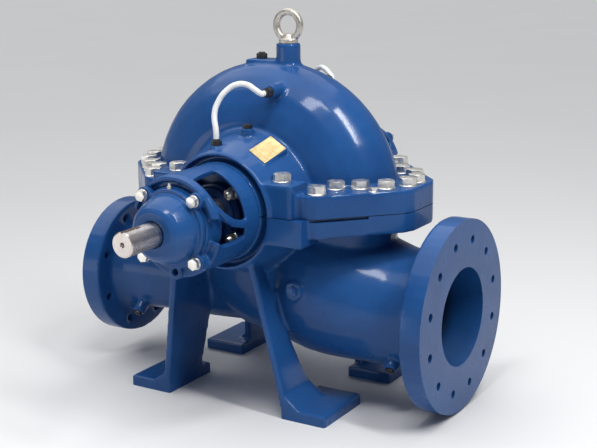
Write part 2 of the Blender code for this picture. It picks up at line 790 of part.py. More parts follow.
def flush_line(end, tube_material, fitting_material):
    """Flush pipe from the dome to the seal chamber, with a union at the top and an elbow below."""
    side = SPLIT_SIDE[end]
    knots = [Vector((x, side * y, z)) for x, y, z in FLUSH_KNOTS]
    route = smooth_route(knots, 0.012)
    curve = bpy.data.curves.new("flush_pipe_" + end, "CURVE")
    curve.dimensions = "3D"
    curve.bevel_depth = FLUSH_PIPE_RADIUS
    curve.bevel_resolution = 2
    curve.use_fill_caps = True
    spline = curve.splines.new("POLY")
    spline.points.add(len(route) - 1)
    for point, place in zip(spline.points, route):
        point.co = (*place, 1.0)
    pipe = bpy.data.objects.new("flush_pipe_" + end, curve)
    bpy.context.scene.collection.objects.link(pipe)
    finish(pipe, tube_material)
    union_seat = (UNION_X, side * (UNION_BACK + GAP), UNION_Z)
    union = rod("flush_union_" + end, union_seat, (UNION_X, side * UNION_FRONT, UNION_Z), 0.010, 6)
    finish(union, fitting_material)
    elbow_seat = (ELBOW_X, side * ELBOW_Y, ELBOW_SEAT + GAP)
    elbow = rod("flush_elbow_" + end, elbow_seat, (ELBOW_X, side * ELBOW_Y, ELBOW_TOP), 0.0105, 6)
    finish(elbow, fitting_material)


def eyebolt(metal):
    """Lifting eye on the boss beside the vent pad."""
    x = EYE_X
    seat = EYE_SEAT + GAP
    body = rod("eyebolt", (x, 0.0, seat), (x, 0.0, seat + 0.008), 0.019, 20)
    centre = seat + EYE_RING_RADIUS + EYE_BAR_RADIUS
    shape = bmesh.new()
    turns = 24
    sides = 8
    rings = []
    for turn in range(turns):
        angle = 2 * math.pi * turn / turns
        ring = []
        for step in range(sides):
            around = 2 * math.pi * step / sides
            reach = EYE_RING_RADIUS + EYE_BAR_RADIUS * math.cos(around)
            y = EYE_BAR_RADIUS * math.sin(around)
            ring.append(shape.verts.new((x + reach * math.cos(angle), y, centre + reach * math.sin(angle))))
        rings.append(ring)
    for turn in range(turns):
        following = rings[(turn + 1) % turns]
        for step in range(sides):
            after = (step + 1) % sides
            shape.faces.new((rings[turn][step], rings[turn][after], following[after], following[step]))
    neck = rod("neck", (x, 0.0, seat + 0.004), (x, 0.0, seat + 0.018), 0.016, 12, end_radius=0.008)
    fuse(body, neck, solid("ring", shape))
    finish(body, metal)


def hex_plug(name, seat, direction, radius, height, metal):
    """A hexagon-headed plug that stands on its boss."""
    out = Vector(direction).normalized()
    start = Vector(seat) + out * GAP
    head = rod(name, start, start + out * height, radius, 6)
    finish(head, metal)


def shaft_line(metal, sleeve_metal, rubber):
    """Rotor: the stepped shaft with its keyway, the sleeves under the seals and two throwers."""
    near_seat = -HOUSING_FRONT + 0.004
    far_end = HOUSING_FRONT - 0.004
    profile = [
        (0.0, -SHAFT_NOSE),
        (SHAFT_END_RADIUS - 0.002, -SHAFT_NOSE),
        (SHAFT_END_RADIUS, -SHAFT_NOSE + 0.002),
        (SHAFT_END_RADIUS, near_seat),
        (SHAFT_SEAT_RADIUS, near_seat + 0.002),
        (SHAFT_SEAT_RADIUS, -HOUSING_BACK + 0.002),
        (SHAFT_MID_RADIUS, -HOUSING_BACK + 0.004),
        (SHAFT_MID_RADIUS, HOUSING_BACK - 0.004),
        (SHAFT_SEAT_RADIUS, HOUSING_BACK - 0.002),
        (SHAFT_SEAT_RADIUS, far_end),
        (0.0, far_end),
    ]
    shaft = turned("shaft", profile, steps=28)
    key_floor = SHAFT_END_RADIUS - KEY_DEPTH
    keyway = block("keyway", (-KEY_WIDTH / 2, -KEY_START, key_floor), (KEY_WIDTH / 2, -KEY_END, 0.05))
    nose = (0.0, -SHAFT_NOSE - 0.001, 0.0)
    centre_hole = rod("centre_hole", nose, (0.0, -SHAFT_NOSE + 0.010, 0.0), 0.0045, 12, end_radius=0.001)
    cut(shaft, keyway, centre_hole)
    finish(shaft, metal, rotor=True)
    for end, side in SPLIT_SIDE.items():
        bore = SHAFT_MID_RADIUS + GAP
        sleeve = [(bore, 0.170), (SLEEVE_RADIUS, 0.170), (SLEEVE_RADIUS, 0.262), (bore, 0.262)]
        finish(turned("shaft_sleeve_" + end, mirrored(sleeve, side), steps=28), sleeve_metal, rotor=True)
        ring = [(bore, 0.276), (0.046, 0.276), (0.052, 0.284), (0.052, 0.287), (bore, 0.287)]
        finish(turned("thrower_ring_" + end, mirrored(ring, side), steps=28), rubber, rotor=True)


def finish(piece, look, rotor=False):
    """Gives a piece its material, smooth round faces and its parent."""
    piece.data.materials.clear()
    piece.data.materials.append(look.copy())
    if piece.type == "MESH":
        piece.data.shade_smooth()
        piece.data.set_sharp_from_angle(angle=math.radians(35))
    piece.parent = bpy.data.objects["shaft_axis" if rotor else "pump_centre"]


def main():
    for old in list(bpy.data.objects):
        bpy.data.objects.remove(old)
    place = (0.0, (SHAFT_NOSE - FAR_NOSE) / 2, SHAFT_HEIGHT)
    for name in ("pump_centre", "shaft_axis"):
        empty = bpy.data.objects.new(name, None)
        empty.location = place
        bpy.context.scene.collection.objects.link(empty)
    blue = material("blue_enamel", (0.030, 0.085, 0.190), 0.35, 0.0)
    steel = material("bright_steel", (0.62, 0.58, 0.54), 0.28, 1.0)
    zinc = material("zinc_steel", (0.66, 0.67, 0.68), 0.40, 1.0)
    black = material("black_plug", (0.015, 0.015, 0.018), 0.45, 0.0)
    white = material("white_tube", (0.80, 0.80, 0.82), 0.35, 0.0)
    brass = material("brass_plate", (0.70, 0.52, 0.16), 0.35, 1.0)
    sheet = material("gasket_sheet", (0.03, 0.03, 0.03), 0.80, 0.0)
    rubber = material("thrower_rubber", (0.02, 0.02, 0.02), 0.70, 0.0)

    lower_casing(blue)
    upper_casing(blue)
    split_gaskets(sheet)
    for end in SPLIT_SIDE:
        bearing_bracket(end, blue)
        bearing_cover(end, blue)
        gland(end, steel)
        flush_line(end, white, black)
    eyebolt(zinc)
    hex_plug("vent_plug", (VENT_X, 0.0, VENT_SEAT), (0, 0, 1), 0.011, 0.012, black)
    plug_x, plug_y, plug_seat = CHAMBER_PLUG_PLACE
    for end, side in SPLIT_SIDE.items():
        nipple_seat = (0.0, side * NIPPLE_Y, COVER_RADIUS - 0.0002)
        hex_plug("chamber_plug_" + end, (plug_x, side * plug_y, plug_seat), (0, 0, 1), 0.0095, 0.008, black)
        hex_plug("grease_nipple_" + end, nipple_seat, (0, 0, 1), 0.005, 0.010, zinc)
    hex_plug("suction_gauge_plug", GAUGE_PLACE, GAUGE_LEAN, 0.0115, 0.006, black)
    for name, (x, reach) in (("suction_drain_plug", SUCTION_DRAIN), ("discharge_drain_plug", DISCHARGE_DRAIN)):
        hex_plug(name, (x, -reach, -NOZZLE_DROP - reach), (0, -1, -1), 0.009, 0.006, black)
    finish(plate("nameplate", NAMEPLATE_WIDTH, NAMEPLATE_LENGTH, GAP, GAP + 0.0012), brass)
    shaft_line(steel, zinc, rubber)


main()
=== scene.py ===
# %% [markdown]
# # A split case pump, from plain solids to finished looks
# This lesson takes the plain solids of a water pump and dresses them: cast iron with a real
# cast skin, blue enamel, zinc bolts, a bright shaft and a brass plate. Each step first says
# what the piece is on the real pump, and then how it is made here and why.

# %% Load the fixed frame
import math

import bmesh
import bpy
from mathutils import Matrix, Vector


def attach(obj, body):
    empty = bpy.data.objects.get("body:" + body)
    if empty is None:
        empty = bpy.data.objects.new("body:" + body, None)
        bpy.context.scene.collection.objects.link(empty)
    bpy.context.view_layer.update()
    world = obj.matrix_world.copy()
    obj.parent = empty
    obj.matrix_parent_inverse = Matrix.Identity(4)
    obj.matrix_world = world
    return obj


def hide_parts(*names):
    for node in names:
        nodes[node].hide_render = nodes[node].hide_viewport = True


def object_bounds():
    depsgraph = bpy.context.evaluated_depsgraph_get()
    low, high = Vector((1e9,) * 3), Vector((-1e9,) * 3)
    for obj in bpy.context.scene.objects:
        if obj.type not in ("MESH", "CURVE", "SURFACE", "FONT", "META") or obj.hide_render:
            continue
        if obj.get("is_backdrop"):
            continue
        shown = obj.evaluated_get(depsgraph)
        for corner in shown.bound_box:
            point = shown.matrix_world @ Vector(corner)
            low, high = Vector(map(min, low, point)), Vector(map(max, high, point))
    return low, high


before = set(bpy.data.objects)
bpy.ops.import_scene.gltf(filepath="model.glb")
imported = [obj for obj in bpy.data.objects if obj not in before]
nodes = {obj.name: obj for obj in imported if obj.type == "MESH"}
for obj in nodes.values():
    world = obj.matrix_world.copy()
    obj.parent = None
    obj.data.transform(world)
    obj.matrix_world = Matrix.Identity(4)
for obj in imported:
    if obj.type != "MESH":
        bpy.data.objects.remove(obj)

cad_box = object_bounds()
print("solids loaded:", len(nodes))

# %% [markdown]
# ## Where things are
# The shaft line is the natural ruler of a pump: every casting is measured from the point where
# the shaft crosses the middle of the casing. The helper turns such a measure into a place in
# the frame, and the two ends of the shaft are called drive and far.

# %% The pump's own ruler
SHAFT_Y = 0.03635
SHAFT_Z = 0.392
ENDS = {"drive": -1, "far": 1}
UP = (0, 0, 1)


def at(x, y, z):
    """A point measured from the pump's centre, as a place in the frame."""
    return Vector((x, y + SHAFT_Y, z + SHAFT_Z))


print("pump centre:", tuple(at(0, 0, 0)))

# %% [markdown]
# ## The camera
# The photograph was taken from the drive end, a little to the suction side and slightly above,
# with a long lens. The angles below were fitted to the flange, the feet and the casing joint,
# so the render can be laid over the photograph.

# %% Place the camera
PHOTO_WIDTH = 597.0
FOCAL_PIXELS = 1227.2
SENSOR = 36.0
CAMERA_TURN = math.radians(31.526)
CAMERA_RISE = math.radians(13.729)
CAMERA_ROLL = math.radians(-0.686)
CAMERA_FAR = 2.46965
CAMERA_SHIFT = (0.03759, -0.06775)

back = Vector((
    math.sin(CAMERA_TURN) * math.cos(CAMERA_RISE),
    -math.cos(CAMERA_TURN) * math.cos(CAMERA_RISE),
    math.sin(CAMERA_RISE),
))
level = Vector((math.cos(CAMERA_TURN), math.sin(CAMERA_TURN), 0.0))
rise = back.cross(level)
right = math.cos(CAMERA_ROLL) * level + math.sin(CAMERA_ROLL) * rise
upward = math.cos(CAMERA_ROLL) * rise - math.sin(CAMERA_ROLL) * level
eye = at(0, 0, 0) + back * CAMERA_FAR + level * CAMERA_SHIFT[0] + rise * CAMERA_SHIFT[1]
turned = Matrix((right, upward, back)).transposed().to_4x4()
bpy.ops.object.camera_add(location=eye)
camera = bpy.context.object
camera.name = "camera"
camera.matrix_world = Matrix.Translation(eye) @ turned
camera.data.sensor_width = SENSOR
camera.data.lens = SENSOR * FOCAL_PIXELS / PHOTO_WIDTH
bpy.context.scene.camera = camera
print("camera lens:", round(camera.data.lens, 1), "mm")

# %% [markdown]
# ## The studio's surroundings
# A glossy paint shows what stands around it as much as its own colour. The walls of the studio
# are a weak, slightly cool glow from all sides, too weak to draw a highlight of their own. The
# plain view transform keeps every paint as it is mixed.

# %% Set the surroundings
WALL_TINT = (0.95, 0.97, 1.0, 1.0)
WALL_GLOW = 0.22
bpy.context.scene.view_settings.view_transform = "Standard"
world = bpy.data.worlds.new("studio")
world.use_nodes = True
walls = world.node_tree.nodes["Background"]
walls.inputs["Color"].default_value = WALL_TINT
walls.inputs["Strength"].default_value = WALL_GLOW
bpy.context.scene.world = world
print("glow of the walls:", WALL_GLOW)

# %% [markdown]
# ## The lamp panels
# The streaks on the dome and on the bearing cover tell where the main lamp stood: a long, narrow
# panel high on the right. A second panel above the suction branch lays the highlight along it,
# and a weak low panel on the left keeps the shadows open. They are area lamps, because only a
# lamp with a shape leaves a highlight with a shape.

# %% Hang the lamp panels
PUMP_MIDDLE = (0.0, 0.03, 0.42)


def add_panel(name, place, target, width, height, power, turn=0.0):
    """A soft rectangular lamp that looks at a target, turned about its own axis."""
    bpy.ops.object.light_add(type="AREA", location=place)
    lamp = bpy.context.object
    lamp.name = name
    lamp.data.shape = "RECTANGLE"
    lamp.data.size = width
    lamp.data.size_y = height
    lamp.data.energy = power
    aim = Vector(target) - Vector(place)
    lamp.rotation_euler = aim.to_track_quat("-Z", "Y").to_euler()
    lamp.rotation_euler.rotate_axis("Z", turn)
    print(name + ":", round(aim.length, 2), "m from its target")


add_panel("main_panel", (1.45, -0.38, 2.15), PUMP_MIDDLE, width=0.17, height=1.10, power=31.0)
add_panel(
    "branch_panel", (0.42, -0.84, 2.20), (0.25, -0.05, 0.25),
    width=0.80, height=0.34, power=16.0, turn=math.radians(38.0),
)
add_panel("fill_panel", (-1.15, -1.85, 0.34), (0.0, 0.0, 0.45), width=1.30, height=0.60, power=4.0)

# %% [markdown]
# ## The ceiling light and the floor
# A very wide sun stands for a bright ceiling and lights the floor evenly on every side of the
# pump. The floor is one large pale sheet. It belongs to the studio and not to the pump.

# %% Add the ceiling light and the floor
CEILING_AIM = Vector((0.36, -0.14, -0.90))
bpy.ops.object.light_add(type="SUN", location=(-1.0, 0.5, 3.0))
ceiling = bpy.context.object
ceiling.name = "ceiling_light"
ceiling.data.energy = 1.9
ceiling.data.angle = math.radians(80.0)
ceiling.rotation_euler = CEILING_AIM.to_track_quat("-Z", "Y").to_euler()

bpy.ops.mesh.primitive_plane_add(size=60.0)
floor = bpy.context.object
floor.name = "studio_floor"
floor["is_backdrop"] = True

# %% [markdown]
# ## Effects that several finishes share
# Cast iron keeps the grain of its sand mould under the paint, paint rubs thin on edges, and
# dust settles on what looks up. Each effect is a node group that any material can hold. The
# patterns read the object's own coordinates, which stay with the piece when it moves.

# %% Tools for shader nodes
def start_group(name, numbers, result):
    """A new shader node group with number inputs and one output."""
    group = bpy.data.node_groups.new(name, "ShaderNodeTree")
    for label, value in numbers.items():
        socket = group.interface.new_socket(label, in_out="INPUT", socket_type="NodeSocketFloat")
        socket.default_value = value
    group.interface.new_socket(result, in_out="OUTPUT", socket_type="NodeSocketFloat")
    return group, group.nodes.new("NodeGroupInput"), group.nodes.new("NodeGroupOutput")


def set_input(tree, socket, value):
    """Sets a socket to a number, or links it to another socket."""
    if isinstance(value, (int, float)):
        socket.default_value = value
    else:
        tree.links.new(value, socket)


def add_noise(tree, scale, detail=3.0, roughness=0.55):
    """Noise on the object's coordinates. The scale is a number or a socket."""
    noise = tree.nodes.new("ShaderNodeTexNoise")
    noise.inputs["Detail"].default_value = detail
    noise.inputs["Roughness"].default_value = roughness
    set_input(tree, noise.inputs["Scale"], scale)
    place = tree.nodes.new("ShaderNodeTexCoord")
    tree.links.new(place.outputs["Object"], noise.inputs["Vector"])
    return noise.outputs["Fac"]


def add_math(tree, operation, first, second=None):
    """A Math node that takes sockets or plain numbers."""
    step = tree.nodes.new("ShaderNodeMath")
    step.operation = operation
    set_input(tree, step.inputs[0], first)
    if second is not None:
        set_input(tree, step.inputs[1], second)
    return step.outputs["Value"]


print("tools for shader nodes ready")

# %% [markdown]
# ## The skin of a sand casting
# Two sizes of relief lie on top of each other: the grains of sand, under half a millimetre, and
# the slow waves of a pattern that was rammed by hand. Both are noise, added as one height.

# %% Build the cast skin
cast_skin, inward, outward = start_group("cast_skin", {"Grain": 260.0, "Waves": 14.0}, "Height")
grain = add_noise(cast_skin, inward.outputs["Grain"], detail=4.0, roughness=0.6)
waves = add_noise(cast_skin, inward.outputs["Waves"], detail=2.0, roughness=0.5)
fine = add_math(cast_skin, "MULTIPLY", grain, 0.25)
cast_skin.links.new(add_math(cast_skin, "ADD", fine, waves), outward.inputs["Height"])
print("nodes in", cast_skin.name + ":", len(cast_skin.nodes))

# %% [markdown]
# ## Worn edges
# Spanners and slings rub the corners of a pump first. Pointiness is high where the surface
# turns sharply outwards, and noise breaks that line into chips.

# %% Build the worn edges
def add_range(tree, value, low, high, new_low=0.0, new_high=1.0):
    """A smooth step from one range of values to another."""
    step = tree.nodes.new("ShaderNodeMapRange")
    step.interpolation_type = "SMOOTHSTEP"
    tree.links.new(value, step.inputs["Value"])
    ends = {"From Min": low, "From Max": high, "To Min": new_low, "To Max": new_high}
    for name, number in ends.items():
        step.inputs[name].default_value = number
    return step.outputs["Result"]


worn_edges, inward, outward = start_group("worn_edges", {"Chips": 90.0}, "Mask")
surface = worn_edges.nodes.new("ShaderNodeNewGeometry")
ridge = add_range(worn_edges, surface.outputs["Pointiness"], 0.54, 0.66)
chips = add_noise(worn_edges, inward.outputs["Chips"], detail=4.0, roughness=0.65)
broken = add_range(worn_edges, chips, 0.50, 0.68)
worn_edges.links.new(add_math(worn_edges, "MULTIPLY", ridge, broken), outward.inputs["Mask"])
print("nodes in", worn_edges.name + ":", len(worn_edges.nodes))

# %% [markdown]
# ## Settled dust
# Dust lies on what looks up and stays off walls and undersides. The upward part of the normal
# gives that, and slow noise leaves some patches cleaner than others.

# %% Build the settled dust
settled_dust, inward, outward = start_group("settled_dust", {"Patches": 9.0}, "Mask")
surface = settled_dust.nodes.new("ShaderNodeNewGeometry")
parts = settled_dust.nodes.new("ShaderNodeSeparateXYZ")
settled_dust.links.new(surface.outputs["Normal"], parts.inputs["Vector"])
facing = add_range(settled_dust, parts.outputs["Z"], 0.35, 0.98)
patches = add_noise(settled_dust, inward.outputs["Patches"], detail=6.0, roughness=0.6)
spread = add_range(settled_dust, patches, 0.30, 0.75)
settled_dust.links.new(add_math(settled_dust, "MULTIPLY", facing, spread), outward.inputs["Mask"])
print("nodes in", settled_dust.name + ":", len(settled_dust.nodes))

# %% [markdown]
# ## Tools for materials
# A material starts from the plain shader and gets its colour, roughness and bump from nodes.
# All finishes are kept under the names that the record's slots have.

# %% Tools for materials
finishes = {}


def start_material(name, metallic=0.0):
    """A new material with its Principled shader, kept under its name."""
    finishes[name] = bpy.data.materials.new(name)
    finishes[name].use_nodes = True
    tree = finishes[name].node_tree
    shader = tree.nodes["Principled BSDF"]
    shader.inputs["Metallic"].default_value = metallic
    return tree, shader


def place_group(tree, group, result, **numbers):
    """Places a shared effect with its own numbers and gives its result."""
    node = tree.nodes.new("ShaderNodeGroup")
    node.node_tree = group
    for label, value in numbers.items():
        node.inputs[label].default_value = value
    return node.outputs[result]


def mix_colours(tree, share, first, second):
    """Mixes two colours, which are sockets or plain numbers, by a share."""
    step = tree.nodes.new("ShaderNodeMix")
    step.data_type = "RGBA"
    tree.links.new(share, step.inputs[0])
    for socket, value in ((step.inputs[6], first), (step.inputs[7], second)):
        if isinstance(value, tuple):
            socket.default_value = (*value, 1.0)
        else:
            tree.links.new(value, socket)
    return step.outputs[2]


def add_bump(tree, shader, height, strength, distance):
    """Relief for the light only, from a height."""
    bump = tree.nodes.new("ShaderNodeBump")
    bump.inputs["Strength"].default_value = strength
    bump.inputs["Distance"].default_value = distance
    tree.links.new(height, bump.inputs["Height"])
    tree.links.new(bump.outputs["Normal"], shader.inputs["Normal"])


print("tools for materials ready")

# %% [markdown]
# ## A recipe for gloss paint
# Under the paint lies the cast skin as a gentle bump, the colour drifts a little between two
# shades, edges show a trace of paler primer, and a thin dust dulls what looks up. The gloss is
# a clear coat on the shader itself. Deep in the pipe openings the colour can fade to near black:
# this is painted shade, standing in for the shadow that falls inside them.

# %% Write the recipe for paint
DUST_GREY = (0.36, 0.38, 0.40)
# The near black below is painted shade for the deep inside of the pipe openings.
PAINTED_BORE_SHADE = (0.010, 0.011, 0.013)
SKIN_DEPTH = 0.0022


def paint_bore_shade(tree, colour, near, far):
    """Painted shade, a near black, up to one distance from the pump's middle, and the paint's own
    colour from another on.
    """
    parts = tree.nodes.new("ShaderNodeSeparateXYZ")
    place = tree.nodes.new("ShaderNodeTexCoord")
    tree.links.new(place.outputs["Object"], parts.inputs["Vector"])
    unshaded = add_range(tree, add_math(tree, "ABSOLUTE", parts.outputs["X"]), near, far)
    return mix_colours(tree, unshaded, PAINTED_BORE_SHADE, colour)


def mix_paint(name, deep, bright, primer, dust, wear, skin, bore_shade=None):
    """Gloss paint on a casting, with its drift of colour, worn edges and dust, and where asked
    painted shade deep in the pipe openings.
    """
    tree, shader = start_material(name)
    drift = add_range(tree, add_noise(tree, 7.0, 5.0), 0.30, 0.70)
    colour = mix_colours(tree, drift, deep, bright)
    edge = place_group(tree, worn_edges, "Mask", Chips=90.0)
    colour = mix_colours(tree, add_math(tree, "MULTIPLY", edge, wear), colour, primer)
    veil = place_group(tree, settled_dust, "Mask", Patches=9.0)
    colour = mix_colours(tree, add_math(tree, "MULTIPLY", veil, dust), colour, DUST_GREY)
    if bore_shade:
        colour = paint_bore_shade(tree, colour, *bore_shade)
    tree.links.new(colour, shader.inputs["Base Color"])
    smudge = add_range(tree, add_noise(tree, 22.0, 5.0, 0.65), 0.25, 0.75, 0.24, 0.40)
    rough = add_math(tree, "ADD", smudge, add_math(tree, "MULTIPLY", veil, 0.10))
    tree.links.new(rough, shader.inputs["Roughness"])
    shader.inputs["Specular IOR Level"].default_value = 0.10
    shader.inputs["Coat Weight"].default_value = 0.38
    shader.inputs["Coat Roughness"].default_value = 0.13
    height = place_group(tree, cast_skin, "Height", Grain=260.0, Waves=14.0)
    add_bump(tree, shader, height, skin, SKIN_DEPTH)


# The colour printed here is the painted shade deep in the pipe openings.
print("paint recipe ready; it gives way to iron of colour", PAINTED_BORE_SHADE)

# %% [markdown]
# ## The enamels
# The pump is painted all over in a glossy medium blue. The seal covers sit deep in the bracket
# windows, and their darker copy of the blue is painted shade of those windows. The pipe openings
# have the same blue, which darkens to painted shade deep inside them.

# %% Mix the enamels
DEEP_BLUE = (0.009, 0.058, 0.200)
BRIGHT_BLUE = (0.015, 0.080, 0.255)
PALE_PRIMER = (0.12, 0.24, 0.38)
# Painted shade deep inside the pipe openings fades in between these distances from the middle.
BORE_SHADE_FADE = (0.315, 0.352)

mix_paint("blue_enamel", DEEP_BLUE, BRIGHT_BLUE, PALE_PRIMER, dust=0.02, wear=0.30, skin=0.28)
# A darker copy of the blue: painted shade for the seal covers deep in the bracket windows.
mix_paint(
    "dark_enamel", (0.006, 0.030, 0.125), (0.010, 0.042, 0.160), (0.08, 0.13, 0.22),
    dust=0.05, wear=0.35, skin=0.20,
)
# The same blue, darkening to painted shade deep inside the pipe openings.
mix_paint(
    "bore_enamel_painted_shade", DEEP_BLUE, BRIGHT_BLUE, PALE_PRIMER,
    dust=0.05, wear=0.0, skin=0.28, bore_shade=BORE_SHADE_FADE,
)
print("paints:", *finishes)

# %% [markdown]
# ## Metals, plastics and rubber
# Zinc on bolts is dull and cloudy, brass is warm and slightly tarnished, the flush pipes are
# white plastic, and gaskets and throwers are nearly black. One recipe serves them all: two
# shades that drift in clouds, roughness that drifts with smaller ones, and fine scratches.

# %% Mix the metals, plastics and rubber
def mix_metal(name, first, second, cloud, rough, metallic=1.0, scratch=900.0, depth=0.25):
    """Metal or plastic whose colour and roughness drift in clouds, with fine scratches."""
    tree, shader = start_material(name, metallic)
    drift = add_range(tree, add_noise(tree, cloud, 5.0, 0.6), 0.30, 0.72)
    tree.links.new(mix_colours(tree, drift, first, second), shader.inputs["Base Color"])
    smudge = add_range(tree, add_noise(tree, cloud * 2.3, 4.0, 0.6), 0.28, 0.72, *rough)
    tree.links.new(smudge, shader.inputs["Roughness"])
    if scratch:
        add_bump(tree, shader, add_noise(tree, scratch, 3.0, 0.7), depth, 0.0003)
    return tree, shader


mix_metal("zinc_steel", (0.93, 0.91, 0.86), (0.68, 0.66, 0.62), 60.0, (0.26, 0.48))
mix_metal(
    "black_fitting", (0.012, 0.012, 0.014), (0.030, 0.030, 0.032), 80.0, (0.34, 0.55), metallic=0.2
)
mix_metal(
    "white_tube", (0.80, 0.81, 0.82), (0.66, 0.68, 0.70), 30.0, (0.28, 0.42),
    metallic=0.0, depth=0.12,
)
mix_metal(
    "brass_plate", (0.70, 0.56, 0.31), (0.54, 0.41, 0.20), 90.0, (0.46, 0.64), depth=0.35
)
mix_metal(
    "gasket_sheet", (0.012, 0.012, 0.013), (0.035, 0.034, 0.033), 120.0, (0.70, 0.90), metallic=0.0
)
mix_metal(
    "thrower_rubber", (0.010, 0.010, 0.011), (0.024, 0.024, 0.025), 60.0, (0.55, 0.75), metallic=0.0
)
print("finishes so far:", *finishes)

# %% [markdown]
# ## Bright turned steel
# A shaft that comes off the lathe carries fine rings from the tool. A wave texture in bands
# along the shaft takes the place of the scratches, with a little distortion so that no two
# rings are quite alike.

# %% Mix the bright steel
tree, shader = mix_metal(
    "bright_steel", (0.68, 0.64, 0.62), (0.56, 0.50, 0.47), 11.0, (0.22, 0.32), scratch=None
)
rings = tree.nodes.new("ShaderNodeTexWave")
rings.wave_type = "BANDS"
rings.bands_direction = "Y"
rings.inputs["Scale"].default_value = 420.0
rings.inputs["Distortion"].default_value = 0.6
place = tree.nodes.new("ShaderNodeTexCoord")
tree.links.new(place.outputs["Object"], rings.inputs["Vector"])
add_bump(tree, shader, rings.outputs["Fac"], 0.32, 0.0002)
print("rings on the steel, scale", rings.inputs["Scale"].default_value)

# %% [markdown]
# ## The studio paper
# The floor is matt paper, pale enough to melt into the light around it. A faint drift of grey
# keeps it from looking like a hole in the picture.

# %% Mix the studio paper
tree, shader = start_material("studio_paper")
drift = add_noise(tree, 1.5, 3.0)
grey = mix_colours(tree, drift, (0.74, 0.74, 0.74), (0.70, 0.70, 0.71))
tree.links.new(grey, shader.inputs["Base Color"])
shader.inputs["Roughness"].default_value = 0.65
floor.data.materials.append(finishes["studio_paper"])
print("materials:", len(bpy.data.materials))

# %% [markdown]
# ## Small modelling helpers
# Operators act on whatever is selected, so each helper first clears the selection. A finished
# piece has its place baked into its mesh, which keeps patterns from sliding on it later.

# %% Helpers for pieces
def take(piece):
    """Selects one piece alone and makes it the active one."""
    if bpy.context.mode != "OBJECT":
        bpy.ops.object.mode_set(mode="OBJECT")
    bpy.ops.object.select_all(action="DESELECT")
    piece.select_set(True)
    bpy.context.view_layer.objects.active = piece


def edit(piece, action):
    """Opens one piece in edit mode, with all of it selected or none."""
    take(piece)
    bpy.ops.object.mode_set(mode="EDIT")
    bpy.ops.mesh.select_all(action=action)


def settle(piece):
    """Applies a piece's modifiers and bakes its place into its mesh."""
    take(piece)
    for modifier in list(piece.modifiers):
        bpy.ops.object.modifier_apply(modifier=modifier.name)
    bpy.ops.object.transform_apply(location=True, rotation=True, scale=True)
    return piece


def weld(piece, closed=True):
    """Merges double points and turns the faces outwards."""
    edit(piece, "SELECT")
    bpy.ops.mesh.remove_doubles(threshold=0.00001)
    if closed:
        bpy.ops.mesh.normals_make_consistent(inside=False)
    bpy.ops.object.mode_set(mode="OBJECT")
    return piece


def join(name, pieces):
    """Joins several pieces into one."""
    take(pieces[0])
    for piece in pieces[1:]:
        piece.select_set(True)
    bpy.ops.object.join()
    joined = bpy.context.object
    joined.name = name
    joined.data.name = name
    return joined


print("helpers for pieces ready")

# %% [markdown]
# ## Machined faces
# A casting's flange faces, feet and joint are machined flat and crisp after it has cooled. The
# same order is kept here: each such face is first pushed out past its place, the whole piece
# gets its rounded skin, and then the skin is cut back to the face.

# %% Tools for machined faces
TOUCH = 0.0002


def on_axis(axis, value):
    """A step or a direction along X, Y or Z."""
    return tuple(value if number == axis else 0.0 for number in range(3))


def push_face(piece, axis, value, reach):
    """Moves the points that lie on one flat machined face outwards."""
    edit(piece, "DESELECT")
    shape = bmesh.from_edit_mesh(piece.data)
    for point in shape.verts:
        if abs(point.co[axis] - value) < TOUCH:
            point.select_set(True)
    shape.select_flush(True)
    bmesh.update_edit_mesh(piece.data)
    bpy.ops.transform.translate(value=on_axis(axis, reach))
    bpy.ops.object.mode_set(mode="OBJECT")


def trim_face(piece, axis, value, outward):
    """Cuts a piece back to a flat face and closes the cut."""
    edit(piece, "SELECT")
    bpy.ops.mesh.bisect(
        plane_co=on_axis(axis, value),
        plane_no=on_axis(axis, outward),
        use_fill=True,
        clear_outer=True,
    )
    bpy.ops.object.mode_set(mode="OBJECT")


print("tools for machined faces ready")

# %% [markdown]
# ## Turning a sharp solid into a casting
# A casting has no sharp inner corners, because sand can't hold them: every wall runs into the
# next one through a fillet. Voxel remeshing melts the solid into one skin, a few rounds of
# smoothing give every corner its radius, and a skin with too many triangles is thinned out.

# %% Cast a solid
OVERSIZE = 0.012


def copy_solid(name, node):
    """A merged copy of a CAD solid as a piece of its own."""
    piece = bpy.data.objects.new(name, nodes[node].data.copy())
    bpy.context.scene.collection.objects.link(piece)
    piece.data.name = name
    return weld(piece, closed=False)


def cast(name, node, voxel, rounds, faces=(), limit=150000, filled=()):
    """A CAD solid with a cast skin. Faces are (axis, value, direction) of its machined faces,
    and the bars in filled close holes that are drilled after casting."""
    piece = copy_solid(name, node)
    for axis, value, direction in faces:
        push_face(piece, axis, value, direction * OVERSIZE)
    if filled:
        piece = join(name, [piece, *filled])
    step = piece.modifiers.new("skin", "REMESH")
    step.mode = "VOXEL"
    step.voxel_size = voxel
    step = piece.modifiers.new("fillets", "SMOOTH")
    step.factor = 0.5
    step.iterations = rounds
    settle(piece)
    triangles = len(piece.data.polygons) * 2
    if triangles > limit:
        step = piece.modifiers.new("thin_out", "DECIMATE")
        step.ratio = limit / triangles
        settle(piece)
    for axis, value, direction in faces:
        trim_face(piece, axis, value, direction)
    return piece


print("machined faces stand", OVERSIZE, "m proud until they are cut")

# %% [markdown]
# ## Evening out large walls
# A fillet needs only a few rounds of smoothing, but a large round wall shows its facets until
# it has many more. A weight for each point limits them to the open wall, and they fade to
# nothing near flanges, rims and small bosses.

# %% Tools for evening out
FADE = 0.012


def ramp(value, start, width):
    """Grows from 0 to 1 over a width."""
    return min(1.0, max(0.0, (value - start) / width))


def keep_clear(place, spots):
    """Fades to 0 near small bosses, which are given as (x, y, z, radius)."""
    return min(ramp((place - Vector(spot[:3])).length, spot[3], FADE) for spot in spots)


